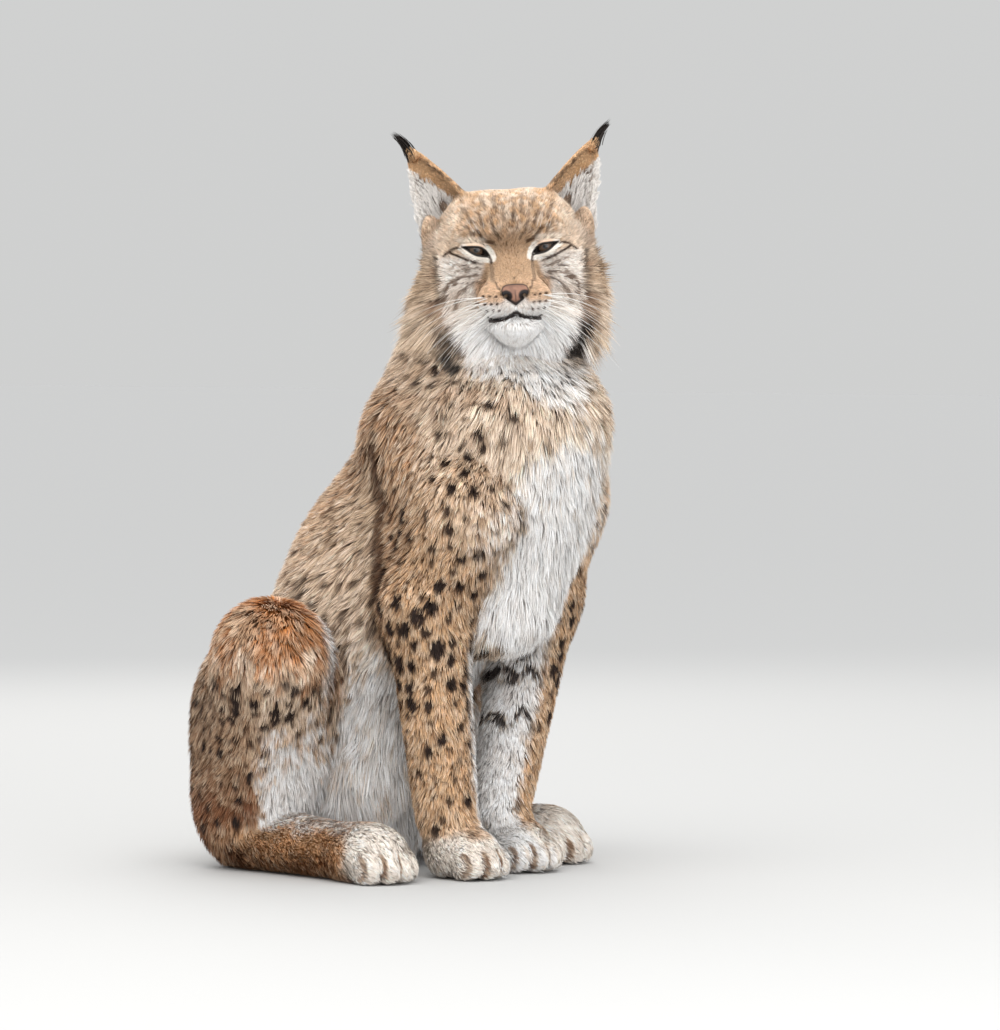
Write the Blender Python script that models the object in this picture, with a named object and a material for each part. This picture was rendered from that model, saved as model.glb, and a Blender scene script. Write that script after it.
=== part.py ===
"""A life-size Eurasian lynx, sitting, with its head turned to its right shoulder.

Units are metres, +Z is up and the animal faces -Y, so its right side is at -X. The origin is on the
floor, in the middle of the flat under the rump. The body is one soft form built up from masses, like
clay on a skeleton, and then parted into head, neck, torso, legs and tail by thin flat cuts. The surface
is the outline of the coat.
"""

import math

import bmesh
import bpy
import numpy as np
from mathutils import Euler, Matrix, Vector

GAP = 0.0003
FAR = 1.0
MM = 0.001
BODY_STEP, BODY_TRIANGLES = 0.0036, 4500
HEAD_STEP, HEAD_TRIANGLES = 0.0016, 4600
SIDES = {"right": -1.0, "left": 1.0}

# Skeleton: the joints of the sitting pose.
PELVIS = (0.0, -0.026, 0.105)
LOIN = (0.0, -0.088, 0.230)
RIBS_BACK = (0.0, -0.140, 0.305)
RIBS_FRONT = (0.0, -0.236, 0.425)
STERNUM_TOP = (0.0, -0.325, 0.470)
STERNUM_END = (0.0, -0.292, 0.285)
NECK_BASE = (0.0, -0.262, 0.500)
NECK_TOP = (-0.004, -0.262, 0.590)
SCAPULA = (0.066, -0.212, 0.462)
SHOULDER = (0.064, -0.290, 0.395)
ELBOW = {"right": (-0.083, -0.245, 0.290), "left": (0.079, -0.262, 0.290)}
WRIST = {"right": (-0.053, -0.247, 0.068), "left": (0.047, -0.236, 0.068)}
HIP = (0.060, -0.020, 0.165)
KNEE = {"right": (-0.190, -0.122, 0.236), "left": (0.176, -0.120, 0.232)}
HEEL = {"right": (-0.124, -0.048, 0.035), "left": (0.120, -0.048, 0.035)}
HIND_TOES = {"right": (-0.147, -0.222, 0.028), "left": (0.140, -0.222, 0.028)}
TAIL = ((0.0, 0.048, 0.060), (0.048, 0.092, 0.034), (0.110, 0.106, 0.0295), (0.168, 0.094, 0.0290))
TAIL_RADIUS = 0.030

# Head: its own frame has the origin between the eyes, X across, Y back and Z up, in millimetres.
EYES_AT = Vector((-0.047, -0.330, 0.660))
HEAD_TURN = math.radians(-48)
HEAD_TIP = math.radians(1.5)
HEAD_ROLL = math.radians(3.3)
EYE_RADIUS = 11.5
EYE = (36.0, 9.5, 0.0)
EAR_TIP = (97.0, 62.0, 107.0)
EAR_ROOT = (56.0, 46.0, 20.0)
EAR_RADIUS = 37.0
EAR_WALL = 4.4

# The ruff: its core, and rows of locks on rings round the side of the face, from the front row backwards.
# A row has the ring's half width and half height, its depth, and its locks' length, width and lift.
RUFF_CORE = (27.0, 28.0, 53.0)
RUFF_MIDDLE = (40.0, -45.0)
RUFF_FROM, RUFF_TO = math.radians(50), math.radians(-118)
RUFF_LOCKS = 9
RUFF_ROWS = ((31, 40, 8, 41, 30, 0.30), (44, 55, 30, 38, 30, 0.45), (46, 57, 56, 36, 30, 0.44))
LOCK_THICK = 4.0
LOCK_STATIONS = ((0.0, 0.8), (0.3, 1.0), (0.62, 0.82), (0.86, 0.45))
TUFT_TIPS = ((117.0, 60.0, 131.0), (111.0, 57.0, 132.0), (119.0, 63.0, 125.0))
rng = np.random.default_rng(9)


def head_frame():
    """The head's own frame, from its millimetres to the model's metres."""
    turn = Euler((HEAD_TIP, -HEAD_ROLL, 0.0)).to_matrix()
    return Matrix.Translation(EYES_AT) @ (
        (Matrix.Rotation(HEAD_TURN, 3, "Z") @ turn).to_4x4() @ Matrix.Scale(MM, 4)
    )


HEAD = head_frame()


def smooth_min(a, b, blend):
    """The nearer of two distances, rounded where they are alike, as clay is where it is pressed together."""
    share = np.maximum(blend - np.abs(a - b), 0) / blend
    return np.minimum(a, b) - share * share * blend / 4


class Limb:
    """A tapered round bar from a to b. wide stretches it along across."""

    def __init__(self, a, b, ra, rb, wide=1.0, across=(1, 0, 0)):
        self.a, self.b = np.array(a, float), np.array(b, float)
        self.ra, self.rb, self.wide = ra, rb, wide
        self.across = np.array(across, float) / np.linalg.norm(across)
        reach = max(ra, rb) * max(1.0, wide)
        self.low = np.minimum(self.a, self.b) - reach
        self.high = np.maximum(self.a, self.b) + reach

    def distance(self, points):
        axis = self.b - self.a
        along = np.clip(((points - self.a) @ axis) / (axis @ axis + 1e-12), 0, 1)
        off = points - self.a - along[..., None] * axis
        off = off + (off @ self.across)[..., None] * self.across * (1 / self.wide - 1)
        radius = self.ra + (self.rb - self.ra) * along
        return (np.linalg.norm(off, axis=-1) - radius) * min(1.0, self.wide)


class Egg:
    """An ellipsoid, turned by axes, whose columns are its own X, Y and Z."""

    def __init__(self, centre, radii, axes=np.eye(3)):
        self.centre, self.radii, self.axes = np.array(centre, float), np.array(radii, float), axes
        reach = np.abs(axes) @ self.radii
        self.low, self.high = self.centre - reach, self.centre + reach

    def distance(self, points):
        local = (points - self.centre) @ self.axes
        near = np.linalg.norm(local / self.radii, axis=-1)
        slope = np.linalg.norm(local / self.radii**2, axis=-1)
        return near * (near - 1) / np.maximum(slope, 1e-6)


class Cup:
    """An ear: a cone-like shell from its tip down to its root, cut open towards its front."""

    def __init__(self, tip, root, front, radius, wall):
        self.tip = np.array(tip, float)
        self.down = np.array(root, float) - self.tip
        self.height = np.linalg.norm(self.down)
        self.down /= self.height
        self.front = np.array(front, float) - np.dot(front, self.down) * self.down
        self.front /= np.linalg.norm(self.front)
        self.side = np.cross(self.down, self.front)
        self.radius, self.wall = radius, wall
        ends = np.array([self.tip, self.tip + self.down * self.height])
        self.low, self.high = ends.min(0) - radius * 1.2, ends.max(0) + radius * 1.2

    def distance(self, points):
        local = points - self.tip
        depth = np.clip((local @ self.down) / self.height, 0.0, 1.15)
        round_radius = self.radius * depth**0.8 * (1.15 - 0.15 * depth) + self.wall / 4
        across, ahead = local @ self.side, (local @ self.front) * 1.25
        ring = np.sqrt(across**2 + ahead**2)
        shell = np.abs(ring - round_radius) - self.wall / 2
        opened = ahead - 0.10 * round_radius
        above = -(local @ self.down) - self.wall / 4
        below = (local @ self.down) - self.height
        return np.maximum.reduce([shell * 0.8, opened, above, below])


class Clay:
    """Distances to a soft form, sampled on a grid: below zero inside it."""

    def __init__(self, low, high, step):
        self.axes = [np.arange(a - step, b + step, step) for a, b in zip(low, high)]
        self.value = np.full([len(axis) for axis in self.axes], FAR, np.float32)
        self.step = step

    def window(self, shape, margin):
        spans = []
        for axis, a, b in zip(self.axes, shape.low - margin, shape.high + margin):
            spans.append(slice(*np.searchsorted(axis, (a, b))))
        grid = np.meshgrid(*(axis[s] for axis, s in zip(self.axes, spans)), indexing="ij")
        return tuple(spans), np.stack(grid, -1)

    def add(self, shape, blend):
        spans, points = self.window(shape, blend + 2 * self.step)
        if points.size:
            self.value[spans] = smooth_min(self.value[spans], shape.distance(points), blend)

    def cut(self, shape, blend):
        spans, points = self.window(shape, blend + 2 * self.step)
        if points.size:
            self.value[spans] = -smooth_min(-self.value[spans], shape.distance(points), blend)

    def settle(self):
        """Close the borders, and fill the corners where two solid ones would meet only across a diagonal."""
        for axis in range(3):
            border = np.moveaxis(self.value, axis, 0)
            border[0] = border[-1] = FAR
        for pair in ((0, 1), (0, 2), (1, 2)) * 3:
            value = np.moveaxis(self.value, pair, (0, 1))
            near, far = value[:-1, :-1], value[1:, :-1]
            across, beyond = value[:-1, 1:], value[1:, 1:]
            far[(near < 0) & (beyond < 0) & (far >= 0) & (across >= 0)] = -0.3 * self.step
            near[(far < 0) & (across < 0) & (near >= 0) & (beyond >= 0)] = -0.3 * self.step

    def surface(self):
        """Points and quads of the zero level: one point in each cell that the surface crosses."""
        inside = self.value < 0
        corners = [np.array(c) for c in np.ndindex(2, 2, 2)]
        size = np.array(inside.shape) - 1
        count = sum(inside[tuple(slice(o, o + n) for o, n in zip(c, size))].astype(np.int8) for c in corners)
        mixed = (count > 0) & (count < 8)
        cells = np.argwhere(mixed)
        number = np.full(mixed.shape, -1, np.int64)
        number[mixed] = np.arange(len(cells))
        total, hits = np.zeros((len(cells), 3)), np.zeros(len(cells))
        for a in corners:
            for b in corners:
                if (b - a).sum() != 1 or (b < a).any():
                    continue
                va, vb = self.value[tuple((cells + a).T)], self.value[tuple((cells + b).T)]
                crosses = (va < 0) != (vb < 0)
                share = np.where(crosses, va / np.where(crosses, va - vb, 1), 0)
                total += crosses[:, None] * (a + share[:, None] * (b - a))
                hits += crosses
        place = cells + total / hits[:, None]
        points = np.stack([np.interp(place[:, i], range(len(ax)), ax) for i, ax in enumerate(self.axes)], 1)
        quads = []
        for axis in range(3):
            first, second = (axis + 1) % 3, (axis + 2) % 3
            lower = np.take(inside, range(inside.shape[axis] - 1), axis)
            upper = np.take(inside, range(1, inside.shape[axis]), axis)
            edges = np.argwhere(lower != upper)
            edges = edges[(edges[:, first] > 0) & (edges[:, second] > 0)]
            edges = edges[(edges[:, first] < size[first]) & (edges[:, second] < size[second])]
            solid_below = lower[tuple(edges.T)]
            one, two = np.eye(3, dtype=int)[[first, second]]
            ring = np.stack([number[tuple((edges - s).T)] for s in (0 * one, one, one + two, two)], 1)
            quads.append(np.where(solid_below[:, None], ring, ring[:, ::-1]))
        return points, np.concatenate(quads)


def head_points(*points):
    return [np.array(HEAD @ Vector(p)) for p in points]


HEAD_AXES = np.array(HEAD.to_3x3().normalized())


def head_egg(centre, radii):
    return Egg(head_points(centre)[0], np.array(radii) * MM, HEAD_AXES)


def head_limb(a, b, ra, rb, wide=1.0, across=(1, 0, 0)):
    a, b = head_points(a, b)
    return Limb(a, b, ra * MM, rb * MM, wide, HEAD_AXES @ np.array(across, float))


def model_body(clay):
    """Torso, neck and legs."""
    clay.add(Egg(PELVIS, (0.108, 0.086, 0.112)), 0.02)
    clay.add(Limb(PELVIS, LOIN, 0.092, 0.100, 1.05), 0.05)
    clay.add(Limb(LOIN, RIBS_BACK, 0.100, 0.108, 0.98), 0.05)
    clay.add(Limb(RIBS_BACK, RIBS_FRONT, 0.118, 0.124, 0.84), 0.05)
    clay.add(Limb(STERNUM_TOP, STERNUM_END, 0.066, 0.046, 1.12), 0.05)
    clay.add(Limb(NECK_BASE, NECK_TOP, 0.108, 0.076, 0.95), 0.06)
    for side, sign in SIDES.items():
        model_foreleg(clay, side, sign)
        model_hind_leg(clay, side, sign)
    clay.add(Egg((0.0, -0.115, 0.140), (0.078, 0.072, 0.138)), 0.03)
    clay.add(Limb(PELVIS, TAIL[0], 0.045, TAIL_RADIUS), 0.03)
    for a, b in zip(TAIL, TAIL[1:]):
        clay.add(Limb(a, b, TAIL_RADIUS, TAIL_RADIUS), 0.008)


def mirrored(point, sign):
    return point[0] * sign, point[1], point[2]


def model_foreleg(clay, side, sign):
    shoulder, elbow, wrist = mirrored(SHOULDER, sign), ELBOW[side], WRIST[side]
    clay.add(Limb(mirrored(SCAPULA, sign), shoulder, 0.052, 0.056), 0.03)
    clay.add(Limb(shoulder, elbow, 0.056, 0.045), 0.03)
    clay.add(Limb(elbow, wrist, 0.0435, 0.0335), 0.025)
    model_paw(clay, (wrist[0], wrist[1] - 0.022, 0.026), math.radians(4 * sign), 0.0355, 0.0170)


def model_hind_leg(clay, side, sign):
    hip, knee, heel, toes = mirrored(HIP, sign), KNEE[side], HEEL[side], HIND_TOES[side]
    clay.add(Egg((0.112 * sign, -0.040, 0.150), (0.060, 0.082, 0.106)), 0.03)
    clay.add(Egg((0.106 * sign, -0.010, 0.078), (0.056, 0.056, 0.080)), 0.03)
    clay.add(Limb(hip, knee, 0.085, 0.052), 0.04)
    clay.add(Limb(knee, (heel[0], heel[1] + 0.01, heel[2] + 0.03), 0.053, 0.046), 0.04)
    clay.add(Limb(heel, toes, 0.034, 0.030, 1.1), 0.015)
    turn = math.atan2(toes[0] - heel[0], heel[1] - toes[1])
    model_paw(clay, toes, -turn, 0.0385, 0.0180)


def model_paw(clay, centre, turn, half_width, toe_spacing):
    """A broad furry paw with four toes. turn swings its toes towards -X."""
    ahead = np.array((-math.sin(turn), -math.cos(turn), 0.0))
    across = np.array((math.cos(turn), -math.sin(turn), 0.0))
    axes = np.stack([across, -ahead, (0, 0, 1)], 1)
    clay.add(Egg(centre, (half_width, 0.044, 0.031), axes), 0.02)
    for place in (-1.5, -0.5, 0.5, 1.5):
        forward = 0.036 if abs(place) < 1 else 0.024
        toe = np.array(centre) + across * place * toe_spacing + ahead * forward
        toe[2] = 0.0165
        clay.add(Egg(toe, (0.0115, 0.0185, 0.0185), axes), 0.006)


def model_head(clay):
    """Skull, muzzle, cheeks, ruff and ears, built up from the outline of their fur."""
    clay.add(head_egg((0, 53, 9), (62, 64, 54)), 0.02)
    clay.add(head_egg((0, 30, 20), (40, 38, 40)), 0.02)
    clay.add(head_limb((0, 4, -13), (0, -44, -47), 20, 15.5), 0.016)
    clay.add(head_egg((0, 16, -74), (40, 40, 32)), 0.02)
    for sign in SIDES.values():
        clay.add(head_egg((33 * sign, 54, 22), (36, 46, 42)), 0.02)
        clay.add(head_limb((17 * sign, 3, 13), (46 * sign, 15, 18), 9, 11), 0.012)
        clay.add(head_egg((41 * sign, 40, -25), (38, 42, 46)), 0.016)
        clay.add(head_egg((60 * sign, 47, -50), RUFF_CORE), 0.02)
        clay.add(head_egg((30 * sign, 26, -82), (30, 32, 28)), 0.016)
        clay.add(head_egg((18.5 * sign, -33, -52), (20, 24, 17)), 0.008)
        model_ear(clay, sign)
    clay.add(head_egg((0, -29, -79), (27, 24, 10)), 0.006)
    clay.add(head_egg((0, -25, -85), (23, 22, 19)), 0.008)
    model_eyes(clay)
    model_nose_and_mouth(clay)


def model_ear(clay, sign):
    """A pointed cup that opens forwards, with the small pocket of skin at its outer edge."""
    front = HEAD_AXES @ np.array((0.42 * sign, -0.9, 0.05))
    tip, root = head_points((EAR_TIP[0] * sign, *EAR_TIP[1:]), (EAR_ROOT[0] * sign, *EAR_ROOT[1:]))
    clay.add(Cup(tip, root, front, EAR_RADIUS * MM, EAR_WALL * MM), 0.006)
    clay.add(head_limb((93.5 * sign, 61, 99), (99 * sign, 61, 108), 5.5, 4.5), 0.003)
    clay.add(head_egg((83 * sign, 42, 25), (6, 9, 15)), 0.006)


def model_eyes(clay):
    """Sockets under the brow, lids over the balls, and the slit between them."""
    for sign in SIDES.values():
        eye = np.array((EYE[0] * sign, EYE[1], EYE[2]))
        clay.cut(head_egg(eye + (0, -24, -1), (18, 11, 11)), 0.008)
        clay.add(head_egg(eye, (EYE_RADIUS + 3.0, EYE_RADIUS + 2.4, EYE_RADIUS + 2.4)), 0.007)
        slit = [eye + (sign * x, -EYE_RADIUS - 1, z) for x, z in ((-13.0, -4.6), (1.0, -0.2), (13.0, 4.6))]
        for (a, b), (ra, rb) in zip(zip(slit, slit[1:]), ((0.8, 4.0), (4.0, 0.8))):
            clay.cut(head_limb(a, b, ra, rb, 2.4, (0, 1, 0)), 0.0012)


def model_nose_and_mouth(clay):
    """Leather at the tip of the muzzle, with its two nostrils, the cleft below it and the line of the lips."""
    clay.add(head_egg((0, -52, -46), (15.5, 10, 9)), 0.005)
    clay.add(head_limb((0, -57, -50), (0, -53, -60), 6, 3), 0.004)
    for sign in SIDES.values():
        clay.cut(head_limb((7.5 * sign, -64, -51), (10.5 * sign, -54, -49), 3.2, 2.6), 0.0015)
        clay.cut(head_limb((11 * sign, -63, -50), (17 * sign, -54, -46), 1.6, 1.0), 0.0015)
        lips = [(0, -58, -66), (10 * sign, -57, -71.5), (23 * sign, -46, -73), (33 * sign, -27, -69)]
        for a, b in zip(lips, lips[1:]):
            clay.cut(head_limb(a, b, 1.9, 1.9, 2.0, (0, 1, 0)), 0.0025)
    clay.cut(head_limb((0, -61, -58), (0, -58, -66), 1.2, 1.8), 0.002)


def material(name, colour, roughness=0.8):
    made = bpy.data.materials.new(name)
    made.use_nodes = True
    shader = made.node_tree.nodes["Principled BSDF"]
    shader.inputs["Base Color"].default_value = (*colour, 1)
    shader.inputs["Roughness"].default_value = roughness
    return made


def collect(name):
    made = bpy.data.collections.new(name)
    bpy.context.scene.collection.children.link(made)
    return made


def add_object(name, mesh, collection):
    made = bpy.data.objects.new(name, mesh)
    collection.objects.link(made)
    return made


def clay_object(name, clay):
    points, quads = clay.surface()
    mesh = bpy.data.meshes.new(name)
    mesh.from_pydata(points.tolist(), [], quads.tolist())
    return add_object(name, mesh, LYNX)


def apply_modifiers(made):
    graph = bpy.context.evaluated_depsgraph_get()
    mesh = bpy.data.meshes.new_from_object(made.evaluated_get(graph))
    made.modifiers.clear()
    made.vertex_groups.clear()
    made.data = mesh


def decimate(made, triangles, looseness=None):
    """Fewer, larger faces that keep the form. Where looseness is low, more of them stay."""
    step = made.modifiers.new("Decimate", "DECIMATE")
    step.ratio = triangles / sum(len(face.vertices) - 2 for face in made.data.polygons)
    if looseness:
        group = made.vertex_groups.new(name="Loose")
        for vertex in made.data.vertices:
            group.add([vertex.index], looseness(vertex.co), "REPLACE")
        step.vertex_group, step.vertex_group_factor = group.name, 4.0
    apply_modifiers(made)


def boolean(made, operation, other, solver="EXACT"):
    step = made.modifiers.new(operation.title(), "BOOLEAN")
    step.operation, step.object, step.solver = operation, other, solver
    apply_modifiers(made)


def cutter(name, planes, grown):
    """The convex block behind all of the planes, each a point and an outward direction, moved out by grown."""
    block = bmesh.new()
    bmesh.ops.create_cube(block, size=4 * FAR)
    for point, outward in planes:
        outward = Vector(outward).normalized()
        at = Vector(point) + grown * outward
        geometry = block.verts[:] + block.edges[:] + block.faces[:]
        cut = bmesh.ops.bisect_plane(
            block, geom=geometry, plane_co=at, plane_no=outward, clear_outer=True
        )
        rim = [part for part in cut["geom_cut"] if isinstance(part, bmesh.types.BMEdge)]
        bmesh.ops.contextual_create(block, geom=rim)
    bmesh.ops.recalc_face_normals(block, faces=block.faces[:])
    mesh = bpy.data.meshes.new(name)
    block.to_mesh(mesh)
    block.free()
    made = add_object(name, mesh, CUTTERS)
    made.hide_render, made.display_type = True, "WIRE"
    return made


def part_off(whole, name, planes):
    """Part the piece behind the planes from the whole, and trim the whole a gap further back."""
    piece = add_object(name, whole.data.copy(), LYNX)
    boolean(piece, "INTERSECT", cutter(name + " cutter", planes, 0.0))
    boolean(whole, "DIFFERENCE", cutter(name + " clearance", planes, GAP))
    keep_largest(piece)
    return piece


def keep_largest(made):
    """Only the largest closed surface stays."""
    shape = bmesh.new()
    shape.from_mesh(made.data)
    left, islands = set(shape.verts), []
    while left:
        edge = [left.pop()]
        island = set(edge)
        while edge:
            vertex = edge.pop()
            near = {link.other_vert(vertex) for link in vertex.link_edges} & left
            left -= near
            island |= near
            edge.extend(near)
        islands.append(island)
    for island in sorted(islands, key=len)[:-1]:
        bmesh.ops.delete(shape, geom=list(island), context="VERTS")
    shape.to_mesh(made.data)
    shape.free()


def head_planes(*planes):
    """Planes given in the head's own frame."""
    return [(HEAD @ Vector(point), HEAD.to_3x3() @ Vector(outward)) for point, outward in planes]


def head_looseness(point):
    """Low on the front of the face, from the brows to the chin, and less so on the ears."""
    x, y, z = HEAD.inverted() @ point
    if y < 8 and abs(x) < 56 and -108 < z < 34:
        return 0.55
    return 0.7 if abs(x) * 0.775 + z * 0.632 > 78 else 1.0


for old in list(bpy.data.objects):
    bpy.data.objects.remove(old)
LYNX = collect("Eurasian lynx")
CUTTERS = collect("Cutters")

body_clay = Clay((-0.27, -0.47, -0.02), (0.27, 0.19, 0.66), BODY_STEP)
model_body(body_clay)
under_floor = -0.003 - body_clay.axes[2]
body_clay.value = np.maximum(body_clay.value, under_floor).astype(np.float32)
body_clay.settle()
torso = clay_object("torso", body_clay)
decimate(torso, BODY_TRIANGLES)
boolean(torso, "INTERSECT", cutter("Floor", [((0, 0, 0), (0, 0, -1))], 0.0))

head_clay = Clay((-0.21, -0.47, 0.48), (0.15, -0.13, 0.80), HEAD_STEP)
model_body(head_clay)
model_head(head_clay)
head_clay.settle()
head = clay_object("head", head_clay)
decimate(head, HEAD_TRIANGLES, head_looseness)

TOP_OF_NECK = ((-0.025, -0.310, 0.533), (-0.245, -0.221, 0.944))
FOOT_OF_NECK = ((0.0, -0.165, 0.515), (0.0, -0.322, 0.947))
BEHIND_TAIL = ((0.0, 0.0575, 0.0), (0.0, -1.0, 0.0))


def turned_round(plane):
    point, outward = plane
    return point, [-part for part in outward]


tail = part_off(torso, "tail", [BEHIND_TAIL])
boolean(torso, "INTERSECT", cutter("Neck end", [TOP_OF_NECK], 0.0))
boolean(head, "INTERSECT", cutter("Head end", [turned_round(TOP_OF_NECK)], -GAP))
keep_largest(head)
neck = part_off(torso, "neck", [turned_round(FOOT_OF_NECK)])
pieces = {"body": [torso], "tail": [tail], "face": [neck, head], "leg": [], "paw": [], "ear": [], "eye": []}
for side, sign in SIDES.items():
    heel, toes = Vector(HEEL[side]), Vector(HIND_TOES[side])
    along = (toes - heel).normalized()
    across = along.cross((0, 0, 1))
    foot = [
        (heel + 0.046 * across, across),
        (heel - 0.046 * across, -across),
        (heel - 0.030 * along, -along),
        ((0, 0, 0.066), (0, 0, 1)),
    ]
    hind_foot = part_off(torso, f"hind_foot_{side}", foot)
    thigh = [((0.112 * sign, 0, 0.262), (-0.93 * sign, 0, 0.36)), ((0, -0.199, 0), (0, -1, 0))]
    hind_leg = part_off(torso, f"hind_leg_{side}", thigh)
    arm = [
        ((0, -0.199, 0), (0, 1, 0)),
        ((0.020 * sign, 0, 0.235), (-0.65 * sign, 0, 0.76)),
        ((0, 0, 0), (-sign, 0, 0)),
    ]
    foreleg = part_off(torso, f"foreleg_{side}", arm)
    forepaw = part_off(foreleg, f"forepaw_{side}", [((0, 0, 0.058), (0, 0, 1))])
    ear_root = head_planes(((50 * sign, 0, 66), (-0.775 * sign, 0, -0.632)))
    ear = part_off(head, f"ear_{side}", ear_root)
    pieces["paw"] += [hind_foot, forepaw]
    pieces["leg"] += [hind_leg, foreleg]
    pieces["ear"].append(ear)
keep_largest(torso)

nose = part_off(
    head,
    "nose",
    head_planes(
        ((0, -51.5, 0), (0, 1, 0)),
        ((0, 0, -37.5), (0, 0, 1)),
        ((15.5, 0, -43), (0.9, 0, 0.44)),
        ((-15.5, 0, -43), (-0.9, 0, 0.44)),
        ((15.5, 0, -46), (0.74, 0, -0.67)),
        ((-15.5, 0, -46), (-0.74, 0, -0.67)),
    ),
)
pieces["nose"] = [nose]


def eyeball(name, centre, radius, collection):
    ball = bmesh.new()
    bmesh.ops.create_uvsphere(
        ball, u_segments=16, v_segments=10, radius=radius, matrix=Matrix.Translation(centre)
    )
    mesh = bpy.data.meshes.new(name)
    ball.to_mesh(mesh)
    ball.free()
    return add_object(name, mesh, collection)




def lock(name, root, bend, tip, wide, face, collection):
    """A flat, tapered lock, in the head's frame, that leaves root towards bend and ends in tip.

    wide is its widest and face the way that its flat sides look.
    """
    root, bend, tip = (np.array(point, float) for point in (root, bend, tip))
    points = []
    for along, share in LOCK_STATIONS:
        at = (1 - along) ** 2 * root + 2 * along * (1 - along) * bend + along**2 * tip
        ahead = 2 * (1 - along) * (bend - root) + 2 * along * (tip - bend)
        across = np.cross(ahead, face)
        across /= np.linalg.norm(across)
        outward = np.cross(across, ahead)
        outward /= np.linalg.norm(outward)
        half, thick = wide * share / 2, LOCK_THICK * (0.4 + 0.6 * share) / 2
        points += [at + half * across, at + thick * outward, at - half * across, at - thick * outward]
    points.append(tip)
    last = len(points) - 1
    faces = [(3, 2, 1, 0)]
    for ring in range(0, last - 4, 4):
        faces += [(ring + i, ring + (i + 1) % 4, ring + 4 + (i + 1) % 4, ring + 4 + i) for i in range(4)]
    faces += [(last - 4 + i, last - 4 + (i + 1) % 4, last) for i in range(4)]
    mesh = bpy.data.meshes.new(name)
    mesh.from_pydata([tuple(HEAD @ Vector(point)) for point in points], [], faces)
    shape = bmesh.new()
    shape.from_mesh(mesh)
    bmesh.ops.recalc_face_normals(shape, faces=shape.faces[:])
    shape.to_mesh(mesh)
    shape.free()
    return add_object(name, mesh, collection)


def fuse(made, collection):
    """Join a node and all the pieces in a collection into one closed solid, and drop the pieces."""
    step = made.modifiers.new("Union", "BOOLEAN")
    step.operation, step.operand_type, step.collection = "UNION", "COLLECTION", collection
    step.solver = "MANIFOLD"
    apply_modifiers(made)
    for piece in list(collection.objects):
        bpy.data.objects.remove(piece)
    bpy.data.collections.remove(collection)
    keep_largest(made)


def unit(vector):
    return vector / np.linalg.norm(vector)


def grow_ruff(sign, collection):
    """Locks in rows from below the ear, round the cheek and under the jaw, each row over the one behind."""
    inverse = HEAD.inverted()
    for row, (half_wide, half_high, depth, length, wide, lift) in enumerate(RUFF_ROWS):
        for count in range(RUFF_LOCKS):
            share = (count + 0.5 * (row % 2)) / (RUFF_LOCKS - 0.5)
            angle = RUFF_FROM + (RUFF_TO - RUFF_FROM) * share + rng.normal(0, 0.02)
            under = max(0.0, -math.sin(angle)) ** 2
            ring = (
                sign * (RUFF_MIDDLE[0] + half_wide * math.cos(angle)),
                depth - 30 * under,
                RUFF_MIDDLE[1] + half_high * math.sin(angle),
            )
            found, at, normal, face = head.closest_point_on_mesh(HEAD @ Vector(ring))
            at = np.array(inverse @ at)
            normal = unit(np.array(inverse.to_3x3() @ normal))
            lie = np.array((sign * math.cos(angle), 0.25, math.sin(angle) - 0.30))
            lie = unit(lie - (lie @ normal) * normal)
            reach = length * (1 + rng.normal(0, 0.07))
            root = at - 5 * normal - 4 * lie
            bend = at + 0.45 * reach * lie + 0.5 * lift * reach * normal
            tip = at + 0.85 * reach * lie + 0.8 * lift * reach * normal + (0, 3, -5)
            lock("Lock", root, bend, tip, wide * (1 + rng.normal(0, 0.08)), normal, collection)


def grow_tuft(sign, collection):
    """The brush on the tip of an ear, in a few locks that curve outwards."""
    for tip in TUFT_TIPS:
        root, bend = (97.0, 61.0, 103.0), (104.0, 61.0, 119.0)
        ends = [np.array(point) * (sign, 1, 1) for point in (root, bend, tip)]
        lock("Tuft", *ends, 7.5, (0.5 * sign, -0.85, 0), collection)


ruff = collect("Ruff locks")
for side, sign in SIDES.items():
    grow_ruff(sign, ruff)
    tuft = collect(f"Tuft locks {side}")
    grow_tuft(sign, tuft)
    fuse(bpy.data.objects[f"ear_{side}"], tuft)
fuse(head, ruff)
boolean(head, "INTERSECT", cutter("Ruff end", [turned_round(TOP_OF_NECK)], -GAP), "MANIFOLD")
keep_largest(head)

for side, sign in SIDES.items():
    centre = HEAD @ Vector((EYE[0] * sign, EYE[1], EYE[2]))
    eye = eyeball(f"eye_{side}", centre, EYE_RADIUS * MM, LYNX)
    socket = eyeball(f"Socket {side}", centre, EYE_RADIUS * MM + 1.02 * GAP, CUTTERS)
    socket.hide_render, socket.display_type = True, "WIRE"
    boolean(head, "DIFFERENCE", socket)
    pieces["eye"].append(eye)
keep_largest(head)

COLOURS = {
    "body": (0.47, 0.34, 0.22),
    "tail": (0.35, 0.24, 0.16),
    "face": (0.60, 0.50, 0.40),
    "leg": (0.55, 0.37, 0.22),
    "paw": (0.72, 0.60, 0.46),
    "ear": (0.52, 0.42, 0.33),
    "nose": (0.40, 0.20, 0.15),
    "eye": (0.07, 0.05, 0.03),
}
for kind, members in pieces.items():
    for piece in members:
        shiny = kind in ("nose", "eye")
        piece.data.materials.clear()
        piece.data.materials.append(material(piece.name + " finish", COLOURS[kind], 0.3 if shiny else 0.85))
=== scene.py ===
import math

import bpy
import numpy as np
from mathutils import Euler, Matrix, Vector
from mathutils.kdtree import KDTree


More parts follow.
